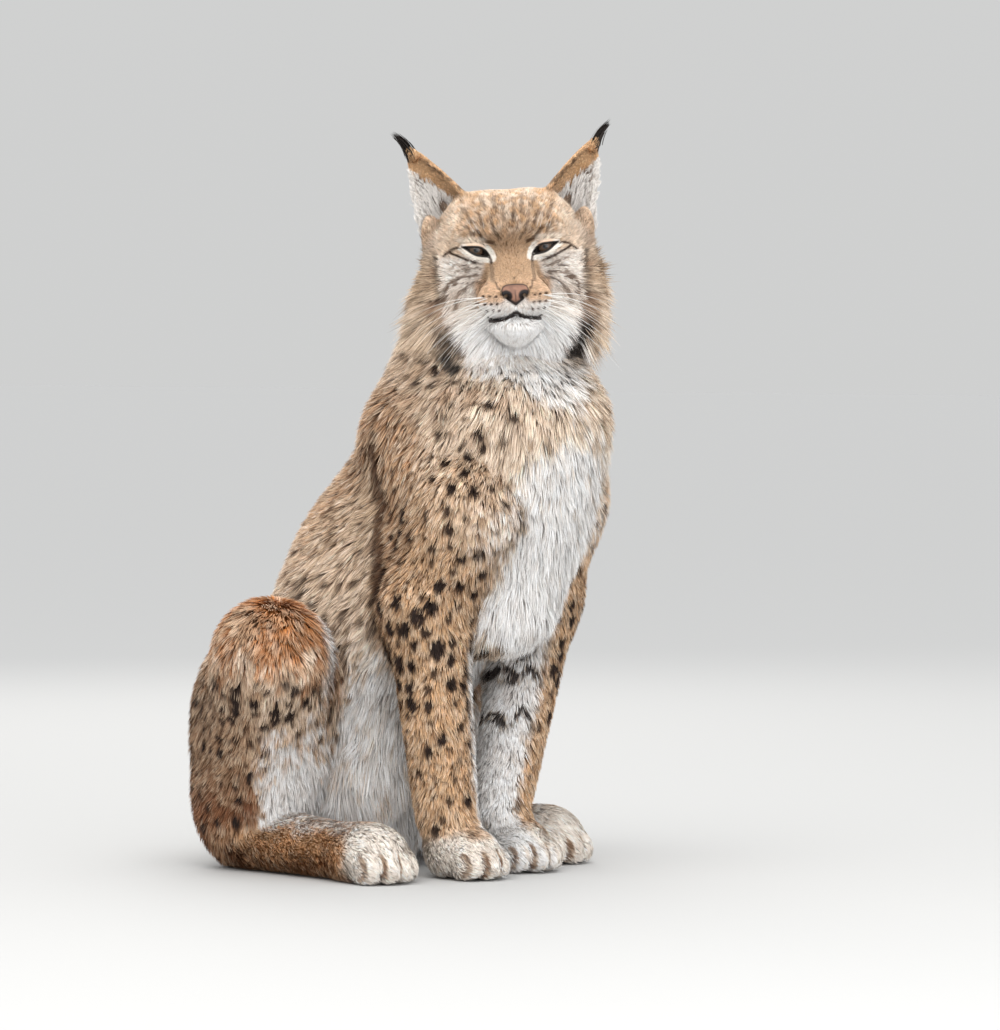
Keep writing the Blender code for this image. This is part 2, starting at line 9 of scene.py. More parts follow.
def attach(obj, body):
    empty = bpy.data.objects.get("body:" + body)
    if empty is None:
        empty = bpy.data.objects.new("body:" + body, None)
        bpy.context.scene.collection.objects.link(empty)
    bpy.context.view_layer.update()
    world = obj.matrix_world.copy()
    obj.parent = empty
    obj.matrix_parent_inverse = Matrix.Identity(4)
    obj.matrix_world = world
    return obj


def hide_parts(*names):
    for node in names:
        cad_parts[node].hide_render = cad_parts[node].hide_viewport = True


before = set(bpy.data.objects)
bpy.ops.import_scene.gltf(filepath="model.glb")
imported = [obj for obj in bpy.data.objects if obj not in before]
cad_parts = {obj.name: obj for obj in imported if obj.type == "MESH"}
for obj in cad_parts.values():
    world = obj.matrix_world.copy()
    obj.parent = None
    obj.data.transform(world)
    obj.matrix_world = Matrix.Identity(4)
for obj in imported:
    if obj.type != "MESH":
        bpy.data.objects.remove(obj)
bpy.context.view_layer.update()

rng = np.random.default_rng(21)

# Camera and light.
# The photo is taken from the animal's right front with a long lens, level with its chest, under a
# bright overcast sky. The camera stands where the photo's did and keeps its framing.
CAMERA_AZIMUTH, CAMERA_ELEVATION = math.radians(-50), math.radians(2)
CAMERA_DISTANCE, FRAME_HEIGHT, SENSOR = 6.0, 1.0815, 36
LOOK_AT = Vector((-0.0172, -0.2906, 0.381))
LIGHTS = (  # name, direction and distance from the animal, size, watts and colour
    ("sky light", (-0.9, -0.5, 1.3), 3.0, 2.8, 66, (1.0, 0.98, 0.95)),
    ("front light", (-0.5, -1.4, 0.25), 3.4, 2.4, 44, (0.97, 0.98, 1.0)),
    ("back light", (0.9, 1.2, 0.9), 3.2, 2.2, 22, (1.0, 0.97, 0.93)),
)
SKY = ((0.02, (0.627, 0.631, 0.628, 1)), (0.75, (1.30, 1.31, 1.32, 1)))  # height and tone of each stop


def place(name, data):
    """A new object in the scene, at the origin."""
    made = bpy.data.objects.new(name, data)
    bpy.context.scene.collection.objects.link(made)
    return made


def add_node(tree, kind, values={}):
    """A new node with values for its inputs."""
    node = tree.nodes.new(kind)
    for socket, value in values.items():
        node.inputs[socket].default_value = value
    return node


def wire(tree, *wires):
    """Join nodes. Each wire names a node, its output, the next node and its input."""
    for source, output, target, socket in wires:
        tree.links.new(source.outputs[output], target.inputs[socket])


def new_material(name, roughness, specular=0.5):
    made = bpy.data.materials.new(name)
    made.use_nodes = True
    shader = made.node_tree.nodes["Principled BSDF"]
    shader.inputs["Roughness"].default_value = roughness
    shader.inputs["Specular IOR Level"].default_value = specular
    return made, made.node_tree, shader


back = Vector((
    math.sin(CAMERA_AZIMUTH) * math.cos(CAMERA_ELEVATION),
    -math.cos(CAMERA_AZIMUTH) * math.cos(CAMERA_ELEVATION),
    math.sin(CAMERA_ELEVATION),
))
camera = place("camera", bpy.data.cameras.new("camera"))
camera.location = LOOK_AT + CAMERA_DISTANCE * back
camera.rotation_euler = back.to_track_quat("Z", "Y").to_euler()
camera.data.sensor_width = SENSOR
camera.data.lens = SENSOR * CAMERA_DISTANCE / FRAME_HEIGHT
bpy.context.scene.camera = camera
for name, direction, distance, size, power, tone in LIGHTS:
    light = place(name, bpy.data.lights.new(name, "AREA"))
    light.data.size, light.data.energy, light.data.color = size, power, tone
    light.location = LOOK_AT + Vector(direction).normalized() * distance
    light.rotation_euler = Vector(direction).to_track_quat("Z", "Y").to_euler()
world = bpy.data.worlds.new("overcast")
world.use_nodes = True
sky = world.node_tree
direction, split, ramp = (add_node(sky, kind) for kind in (
    "ShaderNodeTexCoord", "ShaderNodeSeparateXYZ", "ShaderNodeValToRGB"
))
ramp.color_ramp.interpolation = "EASE"
for stop, (height, tone) in zip(ramp.color_ramp.elements, SKY):
    stop.position, stop.color = height, tone
wire(
    sky, (direction, "Generated", split, "Vector"), (split, "Z", ramp, "Fac"),
    (ramp, "Color", sky.nodes["Background"], "Color"),
)
bpy.context.scene.world = world
bpy.context.scene.view_settings.view_transform = "Standard"


# Body form.
# The animal is one soft body built up from masses, like clay on a skeleton, as in the solids. Each
# mass here also says how deep its coat is, which way the hair on it lies and which zone it belongs to.
MM = 0.001
FAR = 1.0
SIDES = {"right": -1.0, "left": 1.0}
PELVIS = (0.0, -0.026, 0.105)
LOIN = (0.0, -0.088, 0.230)
RIBS_BACK = (0.0, -0.140, 0.305)
RIBS_FRONT = (0.0, -0.236, 0.425)
STERNUM_TOP = (0.0, -0.325, 0.470)
STERNUM_END = (0.0, -0.292, 0.285)
NECK_BASE = (0.0, -0.262, 0.500)
NECK_TOP = (-0.004, -0.262, 0.590)
NAPE, NAPE_BASE = (6.0, 68.0, -8.0), (0.0, -0.232, 0.535)
SCAPULA = (0.066, -0.212, 0.462)
SHOULDER = (0.064, -0.290, 0.395)
ELBOW = {"right": (-0.083, -0.245, 0.290), "left": (0.079, -0.262, 0.290)}
WRIST = {"right": (-0.053, -0.247, 0.068), "left": (0.047, -0.236, 0.068)}
HIP = (0.060, -0.020, 0.165)
KNEE = {"right": (-0.190, -0.122, 0.236), "left": (0.176, -0.120, 0.232)}
HEEL = {"right": (-0.124, -0.048, 0.035), "left": (0.120, -0.048, 0.035)}
HIND_TOES = {"right": (-0.147, -0.222, 0.028), "left": (0.140, -0.222, 0.028)}
TAIL = ((0.0, 0.048, 0.060), (0.048, 0.092, 0.034), (0.110, 0.106, 0.0295), (0.168, 0.094, 0.0290))
TAIL_RADIUS = 0.030
EYES_AT = Vector((-0.047, -0.330, 0.660))
HEAD_TURN, HEAD_TIP, HEAD_ROLL = math.radians(-48), math.radians(1.5), math.radians(3.3)
EYE_RADIUS = 11.5
EYE = (36.0, 9.5, 0.0)
EAR_TIP = (97.0, 62.0, 107.0)
EAR_ROOT = (54.5, 46.0, 20.0)
EAR_RADIUS = 34.0
EAR_WALL = 4.4
EAR_FRONT = (0.42, -0.9, 0.05)
EAR_POINT, EAR_POINT_RADII = ((93.5, 61, 99), (99, 61, 108)), (5.5, 4.5)
EAR_SKIN_POCKET = ((81, 45, 19), (9.5, 9, 19))
SLIT = ((-13.0, -6.4, 1.8), (1.0, -0.2, 5.0), (13.0, 5.4, 1.8))  # across, up and half height
NOSTRIL_CUTS = (  # ends and radii of the hole and of the groove that runs out of it
    ((7.5, -64, -49.5), (10.5, -54, -47.5), 3.4, 2.8), ((11, -63, -50), (17, -54, -46), 1.6, 1.0),
)
LIP_CUT, LIP_CUT_RADIUS = ((0, -58, -66), (10, -57, -71.5), (23, -46, -73), (33, -27, -69)), 1.9
RUFF_CORE = (27.0, 28.0, 53.0)
NOSE = np.array((0.0, -58.0, -45.0))
PAW_LENGTH, PAW_HEIGHT, TOE_RADII = 0.044, 0.031, (0.0115, 0.0185, 0.0185)
TOES = ((-1.5, 0.024), (-0.5, 0.036), (0.5, 0.036), (1.5, 0.024))  # place across a paw, and how far ahead
TOE_HEIGHT = 0.0165
FOREPAW, HIND_PAW = (0.0355, 0.0170), (0.0385, 0.0180)  # half width of the paw and spacing of its toes

tilt = Euler((HEAD_TIP, -HEAD_ROLL, 0.0)).to_matrix()
HEAD = Matrix.Translation(EYES_AT) @ (
    (Matrix.Rotation(HEAD_TURN, 3, "Z") @ tilt).to_4x4() @ Matrix.Scale(MM, 4)
)
HEAD_AXES = np.array(HEAD.to_3x3().normalized())
ORIGIN_OF_HEAD = np.array(EYES_AT)


def to_head(points):
    """Points of the model, in metres, in the head's own frame, in millimetres."""
    return (points - ORIGIN_OF_HEAD) @ HEAD_AXES / MM


def from_head(points):
    return np.asarray(points, float) * MM @ HEAD_AXES.T + ORIGIN_OF_HEAD


def unit(vectors):
    return vectors / np.maximum(np.linalg.norm(vectors, axis=-1, keepdims=True), 1e-9)


def smooth_min(a, b, blend):
    share = np.maximum(blend - np.abs(a - b), 0) / blend
    return np.minimum(a, b) - share * share * blend / 4


class Limb:
    """A tapered round bar from a to b. wide stretches it along across."""

    def __init__(self, a, b, ra, rb, wide=1.0, across=(1, 0, 0)):
        self.a, self.b = np.array(a, float), np.array(b, float)
        self.ra, self.rb, self.wide = ra, rb, wide
        self.across = np.array(across, float) / np.linalg.norm(across)
        reach = max(ra, rb) * max(1.0, wide)
        self.low = np.minimum(self.a, self.b) - reach
        self.high = np.maximum(self.a, self.b) + reach

    def distance(self, points):
        axis = self.b - self.a
        along = np.clip(((points - self.a) @ axis) / (axis @ axis + 1e-12), 0, 1)
        off = points - self.a - along[..., None] * axis
        off = off + (off @ self.across)[..., None] * self.across * (1 / self.wide - 1)
        radius = self.ra + (self.rb - self.ra) * along
        return (np.linalg.norm(off, axis=-1) - radius) * min(1.0, self.wide)


class Egg:
    """An ellipsoid, turned by axes, whose columns are its own X, Y and Z."""

    def __init__(self, centre, radii, axes=np.eye(3)):
        self.centre, self.radii, self.axes = np.array(centre, float), np.array(radii, float), axes
        reach = np.abs(axes) @ self.radii
        self.low, self.high = self.centre - reach, self.centre + reach

    def distance(self, points):
        local = (points - self.centre) @ self.axes
        near = np.linalg.norm(local / self.radii, axis=-1)
        slope = np.linalg.norm(local / self.radii**2, axis=-1)
        return near * (near - 1) / np.maximum(slope, 1e-6)


class Cup:
    """An ear: a cone-like shell from its tip down to its root, cut open towards its front."""

    def __init__(self, tip, root, front, radius, wall):
        self.tip = np.array(tip, float)
        self.down = np.array(root, float) - self.tip
        self.height = np.linalg.norm(self.down)
        self.down /= self.height
        self.front = np.array(front, float) - np.dot(front, self.down) * self.down
        self.front /= np.linalg.norm(self.front)
        self.side = np.cross(self.down, self.front)
        self.radius, self.wall = radius, wall
        ends = np.array([self.tip, self.tip + self.down * self.height])
        self.low, self.high = ends.min(0) - radius * 1.2, ends.max(0) + radius * 1.2

    def distance(self, points):
        local = points - self.tip
        depth = np.clip((local @ self.down) / self.height, 0.0, 1.15)
        round_radius = self.radius * depth**0.8 * (1.15 - 0.15 * depth) + self.wall / 4
        across, ahead = local @ self.side, (local @ self.front) * 1.25
        ring = np.sqrt(across**2 + ahead**2)
        shell = np.abs(ring - round_radius) - self.wall / 2
        opened = ahead - 0.10 * round_radius
        above = -(local @ self.down) - self.wall / 4
        below = (local @ self.down) - self.height
        return np.maximum.reduce([shell * 0.8, opened, above, below])


class Mass:
    """One mass, pressed on or cut away with a blend, with its coat's depth, its hair's lie and its zone."""

    def __init__(self, shape, blend, depth, lie, zone, cut=False):
        self.shape, self.blend, self.depth = shape, blend, depth
        self.lie = None if lie is None else unit(np.array(lie, float))
        self.zone, self.cut = zone, cut

    def join(self, value, points, under):
        """Distances of points with this mass pressed on or cut away, with under=1 to the skin."""
        found = self.shape.distance(points)
        if self.cut:
            return -smooth_min(-value, found, self.blend)
        return smooth_min(value, found + under * self.depth, self.blend)


ZONES = (
    "torso", "chest", "belly", "neck", "foreleg", "forepaw", "thigh", "shank", "hindfoot",
    "tail", "skull", "face", "cheek", "ruff", "jowl", "muzzle", "chin", "lid", "ear", "pocket",
)
masses, openings = [], []


def press(shape, blend, depth, lie, zone):
    masses.append(Mass(shape, blend, depth, lie, ZONES.index(zone)))


def carve(shape, blend):
    masses.append(Mass(shape, blend, 0.0, None, -1, cut=True))


def mirrored(point, sign):
    return point[0] * sign, point[1], point[2]


def step(a, b):
    return np.subtract(b, a)


def press_paw(centre, turn, half_width, toe_spacing, zone):
    """A broad furry paw with four toes. turn swings its toes towards -X."""
    ahead = np.array((-math.sin(turn), -math.cos(turn), 0.0))
    across = np.array((math.cos(turn), -math.sin(turn), 0.0))
    axes = np.stack([across, -ahead, (0, 0, 1)], 1)
    press(Egg(centre, (half_width, PAW_LENGTH, PAW_HEIGHT), axes), 0.02, 0.0035, ahead + (0, 0, -0.3), zone)
    for spot, forward in TOES:
        toe = np.array(centre) + across * spot * toe_spacing + ahead * forward
        toe[2] = TOE_HEIGHT
        press(Egg(toe, TOE_RADII, axes), 0.006, 0.0022, ahead + (0, 0, -0.5), zone)
        toes.append((toe, ahead, across))


def press_foreleg(side, sign):
    shoulder, elbow, wrist = mirrored(SHOULDER, sign), ELBOW[side], WRIST[side]
    blade = mirrored(SCAPULA, sign)
    press(Limb(blade, shoulder, 0.052, 0.056), 0.03, 0.010, (0, 0.15, -1), "torso")
    press(Limb(shoulder, elbow, 0.056, 0.045), 0.03, 0.008, (0.1 * sign, 0.25, -1), "foreleg")
    press(Limb(elbow, wrist, 0.0435, 0.0335), 0.025, 0.0055, (0, 0.08, -1), "foreleg")
    press_paw((wrist[0], wrist[1] - 0.022, 0.026), math.radians(4 * sign), *FOREPAW, "forepaw")


def press_hind_leg(side, sign):
    hip, knee, heel, toe_end = mirrored(HIP, sign), KNEE[side], HEEL[side], HIND_TOES[side]
    down = (0.25 * sign, 0.25, -1)
    press(Egg((0.112 * sign, -0.040, 0.150), (0.060, 0.082, 0.106)), 0.03, 0.010, down, "thigh")
    press(Egg((0.106 * sign, -0.010, 0.078), (0.056, 0.056, 0.080)), 0.03, 0.010, down, "thigh")
    press(Limb(hip, knee, 0.085, 0.052), 0.04, 0.009, (0.5 * sign, -0.25, -0.8), "thigh")
    hock = (heel[0], heel[1] + 0.01, heel[2] + 0.03)
    press(Limb(knee, hock, 0.053, 0.046), 0.04, 0.008, step(knee, hock), "shank")
    press(Limb(heel, toe_end, 0.034, 0.030, 1.1), 0.015, 0.005, step(heel, toe_end), "hindfoot")
    turn = math.atan2(toe_end[0] - heel[0], heel[1] - toe_end[1])
    press_paw(toe_end, -turn, *HIND_PAW, "hindfoot")


def press_body():
    press(Egg(PELVIS, (0.108, 0.086, 0.112)), 0.02, 0.012, (0, 0.5, -0.85), "torso")
    press(Limb(PELVIS, LOIN, 0.092, 0.100, 1.05), 0.05, 0.012, step(LOIN, PELVIS), "torso")
    press(Limb(LOIN, RIBS_BACK, 0.100, 0.108, 0.98), 0.05, 0.012, step(RIBS_BACK, LOIN), "torso")
    press(Limb(RIBS_BACK, RIBS_FRONT, 0.118, 0.124, 0.84), 0.05, 0.012, step(RIBS_FRONT, RIBS_BACK), "torso")
    press(Limb(STERNUM_TOP, STERNUM_END, 0.066, 0.046, 1.12), 0.05, 0.014, (0, 0.1, -1), "chest")
    press(Limb(NECK_BASE, NECK_TOP, 0.108, 0.076, 0.95), 0.06, 0.014, (0, 0.15, -1), "neck")
    press(Limb(from_head(NAPE), NAPE_BASE, 0.044, 0.060), 0.04, 0.014, (0, 0.35, -1), "neck")
    for side, sign in SIDES.items():
        press_foreleg(side, sign)
        press_hind_leg(side, sign)
    press(Egg((0.0, -0.115, 0.140), (0.078, 0.072, 0.138)), 0.03, 0.018, (0, -0.1, -1), "belly")
    press(Limb(PELVIS, TAIL[0], 0.045, TAIL_RADIUS), 0.03, 0.009, step(PELVIS, TAIL[0]), "tail")
    for a, b in zip(TAIL, TAIL[1:]):
        press(Limb(a, b, TAIL_RADIUS, TAIL_RADIUS), 0.008, 0.008, step(a, b), "tail")


def head_egg(centre, radii):
    return Egg(from_head(centre), np.array(radii) * MM, HEAD_AXES)


def head_limb(a, b, ra, rb, wide=1.0, across=(1, 0, 0)):
    return Limb(from_head(a), from_head(b), ra * MM, rb * MM, wide, HEAD_AXES @ np.array(across, float))


def press_head():
    press(head_egg((0, 53, 7), (62, 64, 51)), 0.02, 0.006, None, "skull")
    press(head_egg((0, 30, 18), (40, 38, 38)), 0.02, 0.0035, None, "face")
    press(head_limb((0, 4, -13), (0, -44, -47), 20, 15.5), 0.016, 0.0015, None, "face")
    press(head_egg((0, 16, -74), (40, 40, 32)), 0.02, 0.006, None, "jowl")
    for sign in SIDES.values():
        press(head_limb((9 * sign, -6, -24), (13 * sign, -36, -45), 14, 12), 0.012, 0.0015, None, "face")
    for sign in SIDES.values():
        press(head_egg((33 * sign, 54, 20), (36, 46, 39)), 0.02, 0.005, None, "skull")
        press(head_limb((17 * sign, 3, 13), (46 * sign, 15, 18), 9, 11), 0.012, 0.0025, None, "face")
        press(head_egg((41 * sign, 40, -25), (38, 42, 46)), 0.016, 0.004, None, "cheek")
        press(head_egg((63 * sign, 47, -47), RUFF_CORE), 0.02, 0.004, None, "ruff")
        press(head_egg((30 * sign, 26, -82), (30, 32, 28)), 0.016, 0.005, None, "jowl")
        out = HEAD_AXES @ np.array((1.0 * sign, 0.9, -0.25))
        press(head_egg((18.5 * sign, -32, -52), (20, 24, 16.5)), 0.018, 0.0015, out, "muzzle")
        press_ear(sign)
    down = HEAD_AXES @ np.array((0.0, 0.35, -1.0))
    press(head_egg((0, -29, -79), (29, 24, 10)), 0.006, 0.0015, down, "chin")
    press(head_egg((0, -26, -82), (21, 21, 16)), 0.010, 0.003, down, "chin")
    carve_eyes()
    press_nose()
    carve_nose_and_mouth()


def press_ear(sign):
    front = HEAD_AXES @ np.array(mirrored(EAR_FRONT, sign))
    tip, root = (from_head(mirrored(point, sign)) for point in (EAR_TIP, EAR_ROOT))
    press(Cup(tip, root, front, EAR_RADIUS * MM, EAR_WALL * MM), 0.006, 0.0, tip - root, "ear")
    point = head_limb(*(mirrored(end, sign) for end in EAR_POINT), *EAR_POINT_RADII)
    press(point, 0.003, 0.0018, tip - root, "ear")
    centre, radii = EAR_SKIN_POCKET
    press(head_egg(mirrored(centre, sign), radii), 0.018, 0.002, tip - root, "pocket")


def carve_eyes():
    """Sockets under the brow, lids over the balls, and the slit between them."""
    for sign in SIDES.values():
        eye = np.array((EYE[0] * sign, EYE[1], EYE[2]))
        carve(head_egg(eye + (0, -24, -1), (18, 11, 11)), 0.008)
        lids = head_egg(eye, (EYE_RADIUS + 3.0, EYE_RADIUS + 2.4, EYE_RADIUS + 2.4))
        press(lids, 0.007, 0.0007, None, "lid")
        slit = [(eye + (sign * x, -EYE_RADIUS - 1, z), half) for x, z, half in SLIT]
        for (a, ra), (b, rb) in zip(slit, slit[1:]):
            shape = head_limb(a, b, ra, rb, 2.4, (0, 1, 0))
            openings.append(Mass(shape, 0.0012, 0.0, None, -1, cut=True))


def press_nose():
    press(head_egg((0, -52, -46), (15.5, 10, 9)), 0.005, 0.0008, None, "muzzle")
    press(head_limb((0, -57, -50), (0, -53, -60), 6, 3), 0.004, 0.0008, None, "muzzle")


def carve_nose_and_mouth():
    for sign in SIDES.values():
        for a, b, ra, rb in NOSTRIL_CUTS:
            carve(head_limb(mirrored(a, sign), mirrored(b, sign), ra, rb), 0.0015)
        lips = [mirrored(point, sign) for point in LIP_CUT]
        for a, b in zip(lips, lips[1:]):
            carve(head_limb(a, b, LIP_CUT_RADIUS, LIP_CUT_RADIUS, 2.0, (0, 1, 0)), 0.0025)
    carve(head_limb((0, -61, -58), (0, -58, -66), 1.2, 1.8), 0.002)


toes = []
press_body()
press_head()


def coat_surface(points, under):
    """Distance of points to the coat's outline, or with under=1 to the skin below it."""
    value = np.full(len(points), FAR)
    for mass in masses:
        margin = mass.blend + 0.03
        near = np.all((points > mass.shape.low - margin) & (points < mass.shape.high + margin), 1)
        value[near] = mass.join(value[near], points[near], under)
    return value


class Clay:
    """Distances to the skin, sampled on a grid: below zero inside it."""

    def __init__(self, low, high, spacing):
        self.axes = [np.arange(a - spacing, b + spacing, spacing) for a, b in zip(low, high)]
        self.value = np.full([len(axis) for axis in self.axes], FAR, np.float32)
        self.spacing = spacing

    def add(self, mass):
        margin = mass.blend + 2 * self.spacing
        spans = []
        for axis, a, b in zip(self.axes, mass.shape.low - margin, mass.shape.high + margin):
            spans.append(slice(*np.searchsorted(axis, (a, b))))
        grid = np.meshgrid(*(axis[s] for axis, s in zip(self.axes, spans)), indexing="ij")
        points, spans = np.stack(grid, -1), tuple(spans)
        if points.size:
            self.value[spans] = mass.join(self.value[spans], points, 1)

    def surface(self):
        """Points and quads of the zero level: one point in each cell that the surface crosses."""
        for axis in range(3):
            border = np.moveaxis(self.value, axis, 0)
            border[0] = border[-1] = FAR
        inside = self.value < 0
        corners = [np.array(c) for c in np.ndindex(2, 2, 2)]
        size = np.array(inside.shape) - 1
        count = sum(inside[tuple(slice(o, o + n) for o, n in zip(c, size))].astype(np.int8) for c in corners)
        mixed = (count > 0) & (count < 8)
        cells = np.argwhere(mixed)
        number = np.full(mixed.shape, -1, np.int64)
        number[mixed] = np.arange(len(cells))
        total, hits = np.zeros((len(cells), 3)), np.zeros(len(cells))
        for a in corners:
            for b in corners:
                if (b - a).sum() != 1 or (b < a).any():
                    continue
                va, vb = self.value[tuple((cells + a).T)], self.value[tuple((cells + b).T)]
                crosses = (va < 0) != (vb < 0)
                share = np.where(crosses, va / np.where(crosses, va - vb, 1), 0)
                total += crosses[:, None] * (a + share[:, None] * (b - a))
                hits += crosses
        place = cells + total / hits[:, None]
        points = np.stack([np.interp(place[:, i], range(len(ax)), ax) for i, ax in enumerate(self.axes)], 1)
        quads = []
        for axis in range(3):
            first, second = (axis + 1) % 3, (axis + 2) % 3
            lower = np.take(inside, range(inside.shape[axis] - 1), axis)
            upper = np.take(inside, range(1, inside.shape[axis]), axis)
            edges = np.argwhere(lower != upper)
            edges = edges[(edges[:, first] > 0) & (edges[:, second] > 0)]
            edges = edges[(edges[:, first] < size[first]) & (edges[:, second] < size[second])]
            solid_below = lower[tuple(edges.T)]
            one, two = np.eye(3, dtype=int)[[first, second]]
            ring = np.stack([number[tuple((edges - s).T)] for s in (0 * one, one, one + two, two)], 1)
            quads.append(np.where(solid_below[:, None], ring, ring[:, ::-1]))
        return points, np.concatenate(quads)


def fast_mesh(name, points, faces_by_size):
    """A mesh from arrays: points, and for each kind of face an array with a row of corners for each."""
    mesh = bpy.data.meshes.new(name)
    corners = np.concatenate([faces.ravel() for faces in faces_by_size])
    sizes = np.concatenate([np.full(len(faces), faces.shape[1]) for faces in faces_by_size])
    mesh.vertices.add(len(points))
    mesh.vertices.foreach_set("co", np.ascontiguousarray(points, np.float32).ravel())
    mesh.loops.add(len(corners))
    mesh.loops.foreach_set("vertex_index", corners.astype(np.int32))
    mesh.polygons.add(len(sizes))
    mesh.polygons.foreach_set("loop_start", np.concatenate([[0], np.cumsum(sizes)[:-1]]).astype(np.int32))
    mesh.update(calc_edges=True)
    return mesh


# Skin.
# One skin runs from the nose to the tail with no seams. It is modelled on three grids, coarse for the
# body and fine for the feet and head, whose closed ends lie inside each other where they overlap.
FLOOR_LEVEL = 0.0004
# For each part: its low and high corner, its fineness, and the heights between which hair grows on it.
SKIN_PARTS = (
    ((-0.27, -0.47, 0.060), (0.27, 0.19, 0.515), 0.0060, (0.065, 0.508)),
    ((-0.27, -0.47, -0.004), (0.27, 0.19, 0.070), 0.0037, (-FAR, 0.065)),
    ((-0.21, -0.47, 0.500), (0.15, -0.13, 0.80), 0.00265, (0.508, FAR)),
)


def skin_part(low, high, spacing):
    clay = Clay(low, high, spacing)
    for mass in masses + openings:
        clay.add(mass)
    clay.value = np.maximum(clay.value, (FLOOR_LEVEL - clay.axes[2])[None, None, :])
    return clay.surface()


points, quads, heights = [], [], []
for low, high, spacing, grown in SKIN_PARTS:
    part_points, part_quads = skin_part(low, high, spacing)
    quads.append(part_quads + sum(map(len, points)))
    points.append(part_points)
    heights.append(np.tile(grown, (len(part_points), 1)))
skin_points, skin_quads, skin_grown = (np.concatenate(found) for found in (points, quads, heights))
skin_mesh = fast_mesh("skin", skin_points, [skin_quads])
skin_normals = np.empty(len(skin_points) * 3, np.float32)
skin_mesh.vertices.foreach_get("normal", skin_normals)
skin_normals = skin_normals.reshape(-1, 3).astype(float)


RUFF_MIDDLE, RUFF_SPAN = (40.0, -45.0), (46, 58)
NEAR_MASS, MASS_REACH = 0.04, 0.006  # metres within which a mass has a say in the hair, and how that fades


def ruff_share(side, depth, up):
    """How far out in the ruff a point of the head is, 0 to 1, and the angle at which it lies there."""
    across, above = np.abs(side) - RUFF_MIDDLE[0], up - RUFF_MIDDLE[1]
    ring = np.hypot(across / RUFF_SPAN[0], above / RUFF_SPAN[1])
    angle = np.arctan2(above, across)
    share = ease(0.45, 0.85, ring) * ease(-5, 12, depth) * ease(1.35, 0.95, angle) * ease(-2.9, -2.3, angle)
    return share, angle


def head_flow(points):
    """The lie of the hair on the head: back from the nose, up over the brow, out and down in the ruff."""
    side, depth, up = to_head(points).T
    flow = np.stack([side, depth, up], 1) - NOSE
    low = ease(10, -60, up)
    flow[:, 2] -= 60 * low * ease(-30, 40, depth)
    flow[:, 0] += 25 * np.sign(side) * ease(20, 60, np.abs(side)) * low
    share, angle = ruff_share(side, depth, up)
    outward = np.stack([np.sign(side) * np.cos(angle), np.full(len(side), 0.25), np.sin(angle) - 0.30], 1)
    flow = unit(flow) + share[:, None] * (outward - unit(flow))
    return unit(flow) @ HEAD_AXES.T


def ease(start, end, value):
    share = np.clip((value - start) / (end - start), 0, 1)
    return share * share * (3 - 2 * share)


def read_masses(points):
    """At each point, the share of each zone and the lie of the hair, blended over the masses near it."""
    shares, lie = np.zeros((len(points), len(ZONES))), np.zeros((len(points), 3))
    flow = head_flow(points)
    for mass in masses:
        if mass.cut:
            continue
        low, high = mass.shape.low - NEAR_MASS, mass.shape.high + NEAR_MASS
        near = np.flatnonzero(np.all((points > low) & (points < high), 1))
        away = mass.shape.distance(points[near]) + mass.depth
        weight = np.exp(-np.maximum(away, 0) / MASS_REACH)
        shares[near, mass.zone] += weight
        lie[near] += weight[:, None] * (flow[near] if mass.lie is None else mass.lie)
    return shares / np.maximum(shares.sum(1, keepdims=True), 1e-6), unit(lie)


skin_shares, skin_lies = read_masses(skin_points)


# Markings.
# The coat is buff on the back and flanks, redder on the knees and feet, with dark spots, and white on
# the chest, belly and insides of the legs. The face has pale cheeks, cream rims and dark lines.
FLANK, GREY_BUFF, BELLY_TAN = (0.55, 0.365, 0.235), (0.43, 0.305, 0.205), (0.56, 0.40, 0.27)
SHOULDER_TAN, LEG, OUTER_THIGH = (0.45, 0.225, 0.105), (0.61, 0.365, 0.190), (0.27, 0.140, 0.072)
ORANGE, RED_BROWN, HIND_FOOT = (0.42, 0.145, 0.032), (0.21, 0.070, 0.025), (0.64, 0.325, 0.135)
CREAM, WHITE, TOE_CREAM = (0.80, 0.655, 0.515), (0.90, 0.875, 0.855), (0.85, 0.775, 0.70)
BROWN, RUFF_BROWN, LOW_FLANK = (0.17, 0.080, 0.040), (0.36, 0.245, 0.155), (0.22, 0.14, 0.095)
# The second of these, a dark brown, is painted in the creases behind the leg and knee as painted shade, and
# also draws the lines on the forehead.
SPOT, CREASE_SHADE_AND_FOREHEAD_LINE, BLACK = (0.026, 0.014, 0.010), (0.075, 0.036, 0.020), (0.016, 0.012, 0.010)
# For each zone: spacing of its spots, their size along and across the hair, and how dark they are.
SPOTS = {
    "torso": (0.0128, 0.0052, 0.0036, 0.95), "chest": (0.018, 0.0032, 0.0065, 0.80),
    "neck": (0.0150, 0.0034, 0.0076, 1.0), "foreleg": (0.0145, 0.0068, 0.0056, 1.0),
    "forepaw": (0.018, 0.0040, 0.0035, 0.5), "thigh": (0.0140, 0.0058, 0.0048, 1.0),
    "shank": (0.0125, 0.0058, 0.0050, 1.0), "hindfoot": (0.018, 0.0045, 0.0035, 0.3),
    "tail": (0.030, 0.0080, 0.0060, 0.8),
}
SPOT_TRIES = 30000
INWARDS, AHEAD = -0.643, -0.766  # the way in which the hind leg's colours change, across and along
BIB_TOP, BIB_SLOPE = 0.444, 0.80
BARS = (0.236, 0.208, 0.158)  # heights of the bars inside the forelegs
ELBOW_CREASE, CREASE_ABOVE_KNEE = -0.199, 0.225
TOE_GAP, TOE_LENGTH = 0.0088, 0.024
DARK_CORNER = ((84, -60), (79, -80), (71, -98), (63, -113), (55, -127))
CORNER_BELOW = ((82, -92), (76, -106), (69, -120))


